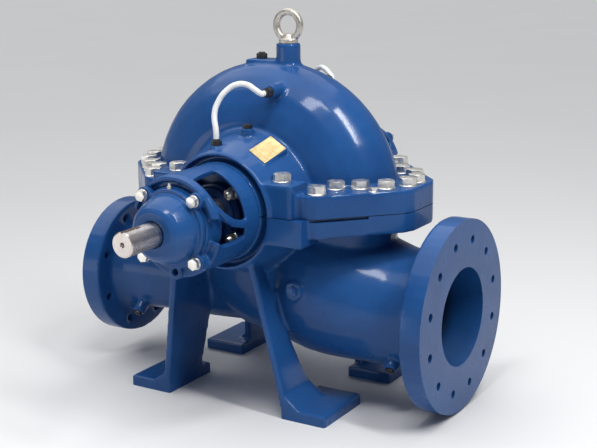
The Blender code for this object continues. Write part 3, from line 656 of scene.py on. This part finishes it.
def calm(piece, amount_at, rounds):
    """Evens out large round walls, as far as amount_at says for each place."""
    group = piece.vertex_groups.new(name="calm")
    reached = 0
    for point in piece.data.vertices:
        amount = amount_at(point.co - at(0, 0, 0))
        if amount > 0.0:
            group.add([point.index], amount, "REPLACE")
            reached += 1
    step = piece.modifiers.new("calm", "SMOOTH")
    step.factor = 0.5
    step.iterations = rounds
    step.vertex_group = "calm"
    settle(piece)
    piece.vertex_groups.clear()
    print("points evened out:", reached, "of", len(piece.data.vertices))


print("tools for evening out ready")

# %% [markdown]
# ## The lower casing
# This is the heavy half that carries everything: both pipe branches, the four splayed legs and
# the lower part of the joint. Its joint, feet and flange faces are machined. A bar through
# every bolt hole of the flanges keeps the holes closed while the skin is cast.

# %% Cast the lower casing
JOINT_HALF = 0.0008
PIPE_REACH = 0.405
NOZZLE_DROP = 0.202
FLANGES = {1: (0.1475, 12), -1: (0.120, 8)}
lower_faces = [
    (2, SHAFT_Z - JOINT_HALF, 1),
    (2, 0.0, -1),
    (0, PIPE_REACH, 1),
    (0, -PIPE_REACH, -1),
]


def add_bar(radius, start, end):
    """A round bar between two points, for filling or cutting a hole."""
    run = Vector(end) - Vector(start)
    bpy.ops.mesh.primitive_cylinder_add(
        vertices=24,
        radius=radius,
        depth=run.length,
        location=(Vector(start) + Vector(end)) / 2,
        rotation=run.to_track_quat("Z", "Y").to_euler(),
    )
    return settle(bpy.context.object)


def flange_bars(radius, low, high):
    """A bar through every bolt hole of both flanges."""
    bars = []
    for side, (pitch, count) in FLANGES.items():
        for number in range(count):
            angle = 2 * math.pi * (number + 0.5) / count
            y = pitch * math.sin(angle)
            z = pitch * math.cos(angle) - NOZZLE_DROP
            bars.append(add_bar(radius, at(side * low, y, z), at(side * high, y, z)))
    return bars


plugs = flange_bars(radius=0.013, low=0.3665, high=0.414)
lower_body = cast(
    "lower_casing_body", "lower_casing", voxel=0.0032, rounds=6,
    faces=lower_faces, limit=170000, filled=plugs,
)
print("faces of the lower casing:", len(lower_body.data.polygons))

# %% [markdown]
# ## Smooth branches and legs
# Light runs along the branches in one long streak, so they are evened out most. The legs get
# less, since they are flat and only carry the small steps of their strips. Both fade out at
# the bosses of the drain plugs and the gauge plug.

# %% Even out the lower casing
BRANCH_START = 0.165
BRANCH_END = 0.350
BRANCH_TOP = 0.075
LEG_TOP = 0.100
LEG_END = 0.362
LEG_SIDE = 0.172
BRANCH_BOSSES = [
    (side * x, end * reach, -NOZZLE_DROP - reach, 0.026)
    for side, x, reach in ((1, 0.300, 0.094), (-1, 0.312, 0.080))
    for end in (-1, 1)
] + [(0.128, -0.163, -0.150, 0.030)]


def branch_amount(place):
    """The round walls of both pipe branches, from the casing to the flanges."""
    from_axis = math.hypot(place.y, place.z + NOZZLE_DROP)
    return min(
        ramp(abs(place.x), BRANCH_START, 0.02),
        ramp(BRANCH_END - abs(place.x), 0.0, FADE),
        ramp(LEG_SIDE - from_axis, 0.0, FADE),
        ramp(-place.z, BRANCH_TOP, 0.015),
        keep_clear(place, BRANCH_BOSSES),
    )


def leg_amount(place):
    """The legs above their feet, and the belly of the casing between them."""
    return min(
        ramp(-place.z, LEG_TOP, 0.02),
        ramp(place.z, -LEG_END, FADE),
        ramp(LEG_SIDE - abs(place.x), 0.0, FADE),
        keep_clear(place, BRANCH_BOSSES),
    )


calm(lower_body, branch_amount, rounds=30)
calm(lower_body, leg_amount, rounds=12)

# %% [markdown]
# ## Pry slots and bolt holes
# Just under the joint a shallow slot is left in each slanted side of the rim, where a bar can
# be set to part the halves. The slots and the bolt holes are cut with one joined tool. A
# narrow border on every machined face then keeps edge wear on the edges.

# %% Machine the lower casing
RIM_NEAR = Vector((0.188, 0.192))
RIM_FAR = Vector((0.320, 0.052))
SLOT_START = 0.054
SLOT_DROP = 0.0025
SLOT_SIZE = (0.112, 0.016, 0.0065)
BORDER = 0.0014


def add_box(place, size, turn=0.0):
    """A box of a given size about a place, turned about Z."""
    bpy.ops.mesh.primitive_cube_add(size=1.0, location=place, rotation=(0, 0, turn), scale=size)
    return settle(bpy.context.object)


def cut_with(piece, tool, operation="DIFFERENCE"):
    """Cuts or crosses a piece with a tool and removes the tool."""
    step = piece.modifiers.new(operation.lower(), "BOOLEAN")
    step.operation = operation
    step.solver = "EXACT"
    step.object = tool
    take(piece)
    bpy.ops.object.modifier_apply(modifier=step.name)
    bpy.data.objects.remove(tool)
    return piece


def border_faces(piece, faces):
    """Insets a narrow border on the flat faces, so that edge wear stays on their edges."""
    edit(piece, "DESELECT")
    bpy.ops.mesh.select_mode(type="FACE")
    shape = bmesh.from_edit_mesh(piece.data)
    for face in shape.faces:
        middle = face.calc_center_median()
        for axis, value, direction in faces:
            if face.normal[axis] * direction > 0.999 and abs(middle[axis] - value) < TOUCH / 2:
                face.select_set(True)
    bmesh.update_edit_mesh(piece.data)
    bpy.ops.mesh.inset(thickness=BORDER, depth=0.0, use_even_offset=False)
    bpy.ops.mesh.select_mode(type="VERT")
    bpy.ops.object.mode_set(mode="OBJECT")


edge = (RIM_FAR - RIM_NEAR).normalized()
spot = RIM_NEAR + edge * SLOT_START
slots = []
for side in (-1, 1):
    for end in (-1, 1):
        place = at(side * spot.x, end * spot.y, -SLOT_DROP)
        slots.append(add_box(place, SLOT_SIZE, math.atan2(end * edge.y, side * edge.x)))
drills = flange_bars(radius=0.0082, low=0.350, high=0.420)
cut_with(lower_body, join("tools", drills + slots))
border_faces(lower_body, lower_faces)
print("cut:", len(slots), "pry slots and", len(drills), "bolt holes")

# %% [markdown]
# ## Paint on the lower casing
# Dressing a piece names its finish, the record's slot for it, the body it rides on and the
# solid it stands for. The faces inside both pipe openings get the paint that darkens to painted
# shade deep inside.

# %% Paint the lower casing
BORES = {1: 0.095, -1: 0.075}
BORE_NEAR = 0.119
BORE_FAR = 0.402


def soften(piece, degrees=32.0):
    """Shades round parts smooth and leaves real edges sharp."""
    take(piece)
    bpy.ops.object.shade_smooth_by_angle(angle=math.radians(degrees))


def dress(piece, slot, *hidden, look=None, body="pump"):
    """Gives a piece its finish, its slot, its body and the solids that it stands for. The
    finish has the slot's own name, or else look names it."""
    piece.data.materials.clear()
    piece.data.materials.append(finishes[look or slot])
    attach(piece, body)
    if hidden:
        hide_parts(*hidden)
    print(piece.name + ":", len(piece.data.polygons), "faces")


soften(lower_body)
dress(lower_body, "blue_enamel", "lower_casing")
# The second finish holds painted shade deep inside the pipe openings.
lower_body.data.materials.append(finishes["bore_enamel_painted_shade"])
inner = 0
for face in lower_body.data.polygons:
    middle = face.center - at(0, 0, 0)
    side = 1 if middle.x > 0 else -1
    radius = math.hypot(middle.y, middle.z + NOZZLE_DROP)
    if BORE_NEAR < abs(middle.x) < BORE_FAR and radius < BORES[side] + 0.003:
        face.material_index = 1
        inner += 1
print("faces inside the bores:", inner)

# %% [markdown]
# ## The upper casing
# The cover lifts off for service. It has the volute dome, the upper halves of the seal chambers
# and the pads that carry the fittings. Only its joint face is machined, and only the dome is
# evened out, around its pads.

# %% Cast the upper casing
DOME_CORE = 0.168
DOME_FOOT = 0.070
upper_faces = [(2, SHAFT_Z + JOINT_HALF, -1)]
DOME_BOSSES = [(0.0, 0.0, 0.290, 0.045), (-0.036, 0.0, 0.264, 0.040)] + [
    (0.048, end * 0.105, 0.214, 0.026) for end in (-1, 1)
]


def dome_amount(place):
    """The volute dome, without its pads."""
    outside = ramp(math.hypot(place.x, place.z), DOME_CORE, 0.02)
    return min(outside, ramp(place.z, DOME_FOOT, 0.02), keep_clear(place, DOME_BOSSES))


upper_body = cast("upper_casing_body", "upper_casing", voxel=0.0030, rounds=6, faces=upper_faces)
calm(upper_body, dome_amount, rounds=36)
border_faces(upper_body, upper_faces)
soften(upper_body)
dress(upper_body, "blue_enamel", "upper_casing")

# %% [markdown]
# ## Bearing brackets, their covers and the seal covers
# The brackets bolt to the seal chambers and hold the bearings, and the seal covers sit in their
# windows. Arms and lips are slim here, so each casting has finer voxels that suit its size.

# %% Cast the brackets and covers
SMALL_CASTINGS = (
    ("bracket_body_", "bearing_bracket_", 0.0018, 4, 70000, "blue_enamel"),
    ("cover_body_", "bearing_cover_", 0.0013, 4, 40000, "blue_enamel"),
    # The seal covers get the darker copy of the blue, which paints the shade in the bracket
    # windows.
    ("seal_cover_", "gland_", 0.0012, 3, 30000, "dark_enamel"),
)
for end in ENDS:
    for name, node, voxel, rounds, limit, slot in SMALL_CASTINGS:
        casting = cast(name + end, node + end, voxel, rounds, limit=limit)
        soften(casting)
        dress(casting, slot, node + end)

# %% [markdown]
# ## Turning on the lathe
# A line of points is drawn as the tool would run, one extrude after another, and spun once
# about the upright axis. A line that starts and ends on the axis closes the piece by itself,
# and a ring's line runs back to its start.

# %% Turn a profile
def turn_profile(name, profile, steps, closed=False):
    """Turns a line of (radius, height) points about Z, as on a lathe."""
    bpy.ops.object.select_all(action="DESELECT")
    bpy.ops.mesh.primitive_plane_add(size=0.001)
    piece = bpy.context.object
    piece.name = name
    bpy.ops.object.mode_set(mode="EDIT")
    bpy.ops.mesh.merge(type="CENTER")
    radius, height = profile[0]
    bpy.ops.transform.translate(value=(radius, 0.0, height))
    path = profile[1:] + profile[:1] if closed else profile[1:]
    for next_radius, next_height in path:
        step = (next_radius - radius, 0.0, next_height - height)
        bpy.ops.mesh.extrude_vertices_move(TRANSFORM_OT_translate={"value": step})
        radius, height = next_radius, next_height
    bpy.ops.mesh.select_all(action="SELECT")
    bpy.ops.mesh.remove_doubles(threshold=0.000001)
    bpy.ops.mesh.spin(steps=steps, angle=2 * math.pi, center=(0, 0, 0), axis=UP)
    bpy.ops.object.mode_set(mode="OBJECT")
    return weld(piece)


print("lathe ready")

# %% [markdown]
# ## The hexagon and its washer
# A bolt head is a hexagon whose corners are turned off by a cone, over a plain washer. The
# hexagon is crossed with a turned blank, which leaves the curved flats of a real head.

# %% Model a bolt head on its washer
def make_hexagon(across, height):
    """A chamfered hexagon that stands on Z = 0."""
    corner = across / math.sqrt(3)
    bpy.ops.mesh.primitive_cylinder_add(
        vertices=6, radius=corner, depth=height, location=(0, 0, height / 2)
    )
    piece = settle(bpy.context.object)
    turned_off = (corner - across / 2) * 0.62
    top = height + 0.00002
    blank = [
        (0.0, -0.001),
        (corner * 1.05, -0.001),
        (corner * 1.05, height - turned_off),
        (across / 2 * 0.94, top),
        (0.0, top),
    ]
    return cut_with(piece, turn_profile("blank", blank, 48), "INTERSECT")


def make_washer(inner, outer, thick):
    """A flat washer with its upper edges eased, standing on Z = 0."""
    ease = thick * 0.3
    profile = [
        (inner, 0.0),
        (outer, 0.0),
        (outer, thick - ease),
        (outer - ease, thick),
        (inner + ease, thick),
        (inner, thick - ease),
    ]
    return turn_profile("washer", profile, 36, closed=True)


def make_bolt(name, across, head, washer_radius, washer_thick):
    """A bolt head on its washer, standing on Z = 0."""
    top = make_hexagon(across, head)
    top.location.z = washer_thick
    settle(top)
    under = make_washer(across * 0.30, washer_radius, washer_thick)
    bolt = join(name, [top, under])
    print(name + ":", across * 1000, "mm across its flats")
    return bolt


rim_bolt = make_bolt("rim_bolt", 0.030, 0.0130, washer_radius=0.0178, washer_thick=0.0032)
cover_bolt = make_bolt("cover_bolt", 0.019, 0.0085, washer_radius=0.0110, washer_thick=0.0020)
small_screw = make_bolt("small_screw", 0.013, 0.0065, washer_radius=0.0085, washer_thick=0.0016)

# %% [markdown]
# ## The stud and its nut
# A seal cover is drawn up by nuts on studs, and a bit of thread stands out of each nut. So
# small a thread may be plain rings: nobody sees that they don't climb.

# %% Model a stud with its nut
def make_stud_nut(name, across, height, stud, reach):
    """A nut on its washer, with the threaded end of the stud standing out of it."""
    washer_thick = 0.0025
    washer = make_washer(stud, across * 0.62, washer_thick)
    nut = make_hexagon(across, height)
    nut.location.z = washer_thick
    settle(nut)
    top = washer_thick + height
    pitch = 0.0018
    root = stud * 0.86
    thread = [(0.0, top - 0.001), (root, top - 0.001)]
    z = top
    while z < top + reach:
        thread += [(root, z), (stud, z + pitch * 0.5)]
        z += pitch
    thread += [(root, z), (stud * 0.70, z + 0.0012), (0.0, z + 0.0012)]
    return join(name, [washer, nut, turn_profile("thread", thread, 24)])


gland_nut = make_stud_nut("gland_nut", across=0.019, height=0.0100, stud=0.0060, reach=0.0060)
print("faces of a stud and nut:", len(gland_nut.data.polygons))

# %% [markdown]
# ## Bolts on the joint
# The joint of a split casing is held by a row of large bolts that follows its edge and crowds
# towards the shaft, where the pressure is highest. Their places were read from the photograph,
# and the hidden half is the mirror of what shows. One bolt is modelled and then copied, each
# copy with its own mesh, and turned a little more than the last, as fitters leave them.

# %% Set the joint bolts
RIM_TOP = 0.043
LUG_TOP = 0.062
SUCTION_ROW = [(0.185, 0.165), (0.193, 0.109), (0.231, 0.084), (0.272, 0.060), (0.296, 0.019)]
DISCHARGE_ROW = [
    (-0.187, 0.165), (-0.207, 0.122), (-0.245, 0.101), (-0.279, 0.062), (-0.298, 0.019)
]
LUG_ROW = [(-0.118, 0.176), (0.118, 0.176)]
JACK_SCREWS = {"discharge": (-0.228, 0.132), "suction": (0.264, 0.096)}


def stand(piece, place, direction, turn=0.0):
    """Turns a piece about its Z, lets its Z look along a direction and bakes it at a place."""
    aim = Vector(direction).to_track_quat("Z", "Y").to_matrix().to_4x4()
    piece.matrix_world = Matrix.Translation(place) @ aim @ Matrix.Rotation(turn, 4, "Z")
    settle(piece)


def place_copy(name, model, place, direction, turn):
    """A copy of a fastener with its own mesh, set in its place."""
    piece = model.copy()
    piece.data = model.data.copy()
    piece.name = name
    bpy.context.scene.collection.objects.link(piece)
    stand(piece, place, direction, turn)
    soften(piece, 30)
    dress(piece, "zinc_steel")


number = 0
for end in (-1, 1):
    places = [(x, y, RIM_TOP, 0.4) for x, y in SUCTION_ROW + DISCHARGE_ROW]
    places += [(x, y, LUG_TOP, 0.5) for x, y in LUG_ROW]
    for x, y, z, turn in places:
        number += 1
        name = "joint_bolt_%02d" % number
        place_copy(name, rim_bolt, at(x, end * y, z), UP, turn * number)
    for side, (x, y) in JACK_SCREWS.items():
        name = "jack_screw_%s_%02d" % (side, end + 2)
        place_copy(name, small_screw, at(x, end * y, RIM_TOP), UP, 0.3)

# %% [markdown]
# ## Bolts on the bearing ends
# Four bolts hold each bearing cover on the ears of the bracket, and four studs with nuts hold
# each seal cover inside the window. The models are removed once all copies are made.

# %% Set the bearing and seal cover bolts
COVER_CIRCLE = 0.079
COVER_FACE = 0.3653
SEAL_CIRCLE = 0.060
SEAL_FACE = 0.2283
for end, side in ENDS.items():
    for number in range(4):
        angle = math.radians(45 + 90 * number)
        x = math.cos(angle)
        z = math.sin(angle)
        spot = at(COVER_CIRCLE * x, side * COVER_FACE, COVER_CIRCLE * z)
        name = "cover_bolt_%s_%d" % (end, number + 1)
        place_copy(name, cover_bolt, spot, (0, side, 0), 0.35 * number)
        spot = at(SEAL_CIRCLE * x, side * SEAL_FACE, SEAL_CIRCLE * z)
        name = "seal_nut_%s_%d" % (end, number + 1)
        place_copy(name, gland_nut, spot, (0, side, 0), 0.25 * number)
for model in (rim_bolt, cover_bolt, small_screw, gland_nut):
    bpy.data.objects.remove(model)

# %% [markdown]
# ## The shaft
# The drive end of the shaft sticks out for its coupling. It is turned on a lathe, so its
# profile is spun here too, with a step at each bearing and a small chamfer at the end. The
# profile is measured from the pump's centre towards the drive end.

# %% Turn the shaft
SHAFT_END = 0.495
END_RADIUS = 0.0226
BEARING_RADIUS = 0.0273
MIDDLE_RADIUS = 0.0298
shaft_profile = [
    (0.0, SHAFT_END),
    (END_RADIUS - 0.002, SHAFT_END),
    (END_RADIUS, SHAFT_END - 0.002),
    (END_RADIUS, 0.350),
    (BEARING_RADIUS, 0.348),
    (BEARING_RADIUS, 0.300),
    (MIDDLE_RADIUS, 0.298),
    (MIDDLE_RADIUS, -0.298),
    (BEARING_RADIUS, -0.300),
    (BEARING_RADIUS, -0.350),
    (0.0, -0.350),
]
shaft_body = turn_profile("shaft_body", shaft_profile, 96)
print("shaft length in mm:", round(shaft_body.dimensions.z * 1000, 1))

# %% [markdown]
# ## The keyway and the centre hole
# The coupling is driven by a key that lies half in the shaft. An end mill leaves its slot with
# round ends, so two round bars and a box between them cut it. The small hole in the end face
# is where the lathe's centre held the shaft.

# %% Cut the keyway and the centre hole
KEY_HALF = 0.006
KEY_FLOOR = 0.0172
KEY_CLEAR = 0.050
KEY_RUN = (0.454, 0.489)
for along in KEY_RUN:
    cut_with(shaft_body, add_bar(KEY_HALF, (0, KEY_FLOOR, along), (0, KEY_CLEAR, along)))
middle = (0, (KEY_FLOOR + KEY_CLEAR) / 2, sum(KEY_RUN) / 2)
size = (2 * KEY_HALF, KEY_CLEAR - KEY_FLOOR, KEY_RUN[1] - KEY_RUN[0])
cut_with(shaft_body, add_box(middle, size))
centre_drill = [
    (0.0, SHAFT_END - 0.011),
    (0.0012, SHAFT_END - 0.010),
    (0.0050, SHAFT_END + 0.0001),
    (0.0050, SHAFT_END + 0.002),
    (0.0, SHAFT_END + 0.002),
]
cut_with(shaft_body, turn_profile("centre_drill", centre_drill, 32))
stand(shaft_body, at(0, 0, 0), (0, -1, 0))
soften(shaft_body, 25)
dress(shaft_body, "bright_steel", "shaft", body="rotor")

# %% [markdown]
# ## Sleeves and water throwers
# A replaceable sleeve takes the wear of the seal, and a rubber ring beside it throws off any
# drip before it can reach the bearing. Both are plain turned forms whose solids are already
# right, so they keep them and only get their finish.

# %% Finish the sleeves and throwers
def finish_solid(node, look):
    """Gives a CAD solid that stays a better material, in its own material slot."""
    materials = nodes[node].data.materials
    materials.clear()
    materials.append(finishes[look])
    print(node, "keeps its solid, in", look)


for end in ENDS:
    finish_solid("shaft_sleeve_" + end, "zinc_steel")
    finish_solid("thrower_ring_" + end, "thrower_rubber")

# %% [markdown]
# ## Flush pipes
# A thin white pipe takes clean water from the dome to each seal. It leaves a union on the dome,
# arches over and drops into an elbow on the seal chamber. A curve with a round section follows
# the same points as the solid, which keeps the pipe smooth along its whole length.

# %% Bend the flush pipes
PIPE_RADIUS = 0.0055
PIPE_POINTS = [
    (0.048, 0.1245, 0.214), (0.048, 0.132, 0.214), (0.038, 0.139, 0.222),
    (0.024, 0.144, 0.231), (0.008, 0.153, 0.232), (-0.010, 0.164, 0.220),
    (-0.022, 0.174, 0.200), (-0.025, 0.182, 0.180), (-0.017, 0.190, 0.145),
    (-0.017, 0.190, 0.1335),
]
for end, side in ENDS.items():
    bpy.ops.curve.primitive_bezier_curve_add(location=(0, 0, 0))
    pipe = bpy.context.object
    pipe.name = "flush_tube_" + end
    line = pipe.data.splines[0]
    line.bezier_points.add(len(PIPE_POINTS) - 2)
    for point, (x, y, z) in zip(line.bezier_points, PIPE_POINTS):
        point.co = at(x, side * y, z)
        point.handle_left_type = point.handle_right_type = "AUTO"
    pipe.data.dimensions = "3D"
    pipe.data.resolution_u = 8
    pipe.data.bevel_depth = PIPE_RADIUS
    pipe.data.bevel_resolution = 5
    pipe.data.use_fill_caps = True
    take(pipe)
    bpy.ops.object.convert(target="MESH")
    pipe = weld(bpy.context.object)
    soften(pipe, 60)
    dress(pipe, "white_tube", "flush_pipe_" + end)

# %% [markdown]
# ## Unions, elbows and grease nipples
# The small fittings are hexagons with turned collars, and each stands on its own boss. They
# differ only in their sizes, so one helper makes them all.

# %% Make the fittings of both ends
def make_fitting(name, sizes, place, direction, slot, node):
    """A chamfered hexagon with a turned collar on top. Its sizes are the width across the
    flats, the whole height, and the collar's radius and height."""
    across, height, collar, collar_height = sizes
    shoulder = height - collar_height
    base = make_hexagon(across, shoulder)
    profile = [
        (0.0, shoulder - 0.0005),
        (collar, shoulder - 0.0005),
        (collar, height - collar_height * 0.3),
        (collar * 0.86, height),
        (0.0, height),
    ]
    piece = join(name, [base, turn_profile("collar", profile, 32)])
    stand(piece, place, direction)
    soften(piece, 30)
    dress(piece, slot, node)


for end, side in ENDS.items():
    make_fitting(
        "tube_union_" + end, (0.0170, 0.0195, 0.0072, 0.0060), at(0.048, side * 0.1043, 0.214),
        (0, side, 0), "black_fitting", "flush_union_" + end,
    )
    make_fitting(
        "tube_elbow_" + end, (0.0180, 0.0115, 0.0075, 0.0035), at(-0.017, side * 0.190, 0.1213),
        UP, "black_fitting", "flush_elbow_" + end,
    )
    make_fitting(
        "chamber_stopper_" + end, (0.0160, 0.0080, 0.0055, 0.0012), at(0.012, side * 0.128, 0.1463),
        UP, "black_fitting", "chamber_plug_" + end,
    )
    make_fitting(
        "grease_fitting_" + end, (0.0085, 0.0100, 0.0026, 0.0050), at(0, side * 0.3598, 0.0716),
        UP, "zinc_steel", "grease_nipple_" + end,
    )

# %% [markdown]
# ## Plugs of the casing
# A vent plug sits beside the lifting eye, drain plugs sit low on both branches, and a painted
# plug closes the gauge hole. The lower ones lean outwards with the walls that they sit on.

# %% Make the plugs
PLUG_CLEAR = 0.0003
make_fitting(
    "vent_stopper", (0.0188, 0.0120, 0.0070, 0.0025), at(-0.036, 0, 0.2643),
    UP, "black_fitting", "vent_plug",
)
lean = Vector((0.0, -0.992, 0.126)).normalized()
place = at(0.128, -0.163, -0.150) + lean * PLUG_CLEAR
make_fitting(
    "gauge_stopper", (0.0190, 0.0060, 0.0070, 0.0010), place,
    lean, "blue_enamel", "suction_gauge_plug",
)
lean = Vector((0.0, -1.0, -1.0)).normalized()
for side, x, reach in (("suction", 0.300, 0.094), ("discharge", -0.312, 0.080)):
    place = at(x, -reach, -NOZZLE_DROP - reach) + lean * PLUG_CLEAR
    make_fitting(
        side + "_drain_stopper", (0.0152, 0.0060, 0.0055, 0.0010), place,
        lean, "black_fitting", side + "_drain_plug",
    )

# %% [markdown]
# ## The lifting eye
# The eye is a drop forging: a round ring that swells into a shank over a flat collar. The
# merged solid is remeshed finely, which melts ring, shank and collar together. Its zinc is
# darker and rougher than that of the bolts.

# %% Forge the lifting eye
mix_metal(
    "forged_zinc", (0.66, 0.63, 0.58), (0.46, 0.43, 0.39), 45.0, (0.34, 0.58), scratch=500.0
)
eye_body = cast("lifting_eye", "eyebolt", voxel=0.0009, rounds=5, limit=40000)
soften(eye_body)
dress(eye_body, "zinc_steel", "eyebolt", look="forged_zinc")

# %% [markdown]
# ## The nameplate
# The plate is left bare: thin brass with a raised rim, where a works would stamp its data. It
# starts as a thin slab lying on the floor. Two insets of the upper face leave the rim, and a
# small bevel eases its edges.

# %% Press the nameplate
PLATE_SIZE = (0.040, 0.060, 0.0012)
plate = add_box((0, 0, 0.0009), PLATE_SIZE)
edit(plate, "DESELECT")
shape = bmesh.from_edit_mesh(plate.data)
for face in shape.faces:
    if face.normal.z > 0.9:
        face.select_set(True)
bmesh.update_edit_mesh(plate.data)
bpy.ops.mesh.inset(thickness=0.0016, depth=0.0)
bpy.ops.mesh.inset(thickness=0.0005, depth=-0.0004)
bpy.ops.object.mode_set(mode="OBJECT")
step = plate.modifiers.new("eased", "BEVEL")
step.width = 0.0003
step.segments = 2
settle(plate)
print("plate faces:", len(plate.data.polygons))

# %% [markdown]
# ## Rivets and empty fields
# Four round-headed rivets hold the plate, and empty raised fields stand where the lines of data
# would be. They are joined to the plate while it still lies flat, and then the whole of it is
# laid on its slanted pad on the seal chamber.

# %% Rivet the nameplate and lay it on its pad
RIVET = [(0.0, 0.0022), (0.0010, 0.0021), (0.0017, 0.0016), (0.0019, 0.0009), (0.0, 0.0009)]
FIELDS = [(0.0185, 0.024, 0.0080), (0.0080, 0.029, 0.0060)] + [
    (y, 0.029, 0.0050) for y in (-0.0005, -0.0080, -0.0155)
]
RIVET_X = 0.0165
RIVET_Y = 0.0265
PLATE_ANGLE = math.radians(58.0)
PLATE_SLOPE = math.radians(22.6)
PAD_RADIUS = 0.1335
PAD_Y = -0.150

extras = []
for x in (-RIVET_X, RIVET_X):
    for y in (-RIVET_Y, RIVET_Y):
        rivet = turn_profile("rivet", RIVET, 16)
        rivet.location = (x, y, 0)
        extras.append(settle(rivet))
for y, width, height in FIELDS:
    extras.append(add_box((0, y, 0.0012), (width, height, 0.0004)))
plate = join("brass_nameplate", [plate] + extras)

out_flat = Vector((math.cos(PLATE_ANGLE), 0.0, math.sin(PLATE_ANGLE)))
around = Vector((math.sin(PLATE_ANGLE), 0.0, -math.cos(PLATE_ANGLE)))
outward = out_flat * math.cos(PLATE_SLOPE) - Vector((0.0, 1.0, 0.0)) * math.sin(PLATE_SLOPE)
turned = Matrix((around, outward.cross(around), outward)).transposed().to_4x4()
middle = out_flat * PAD_RADIUS + Vector((0.0, PAD_Y, 0.0)) + at(0, 0, 0)
plate.matrix_world = Matrix.Translation(middle) @ turned
soften(settle(plate), 30)
dress(plate, "brass_plate", "nameplate")

# %% [markdown]
# ## The casing gaskets
# The gaskets are thin sheets whose edge shows as the dark line of the joint. Their solids are
# already right, so they only get their finish.

# %% Finish the gaskets
for side in ("suction", "discharge"):
    finish_solid("split_gasket_" + side, "gasket_sheet")

# %% [markdown]
# ## Check the size
# The dressed pump has to stay as large as its solids, so the change at both corners of its box is
# printed.

# %% Print the change of the box
dressed_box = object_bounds()
for corner, plain, dressed in zip(("lowest", "highest"), cad_box, dressed_box):
    change = [round((b - a) * 1000, 1) for a, b in zip(plain, dressed)]
    print(corner, "corner, change in mm:", change)
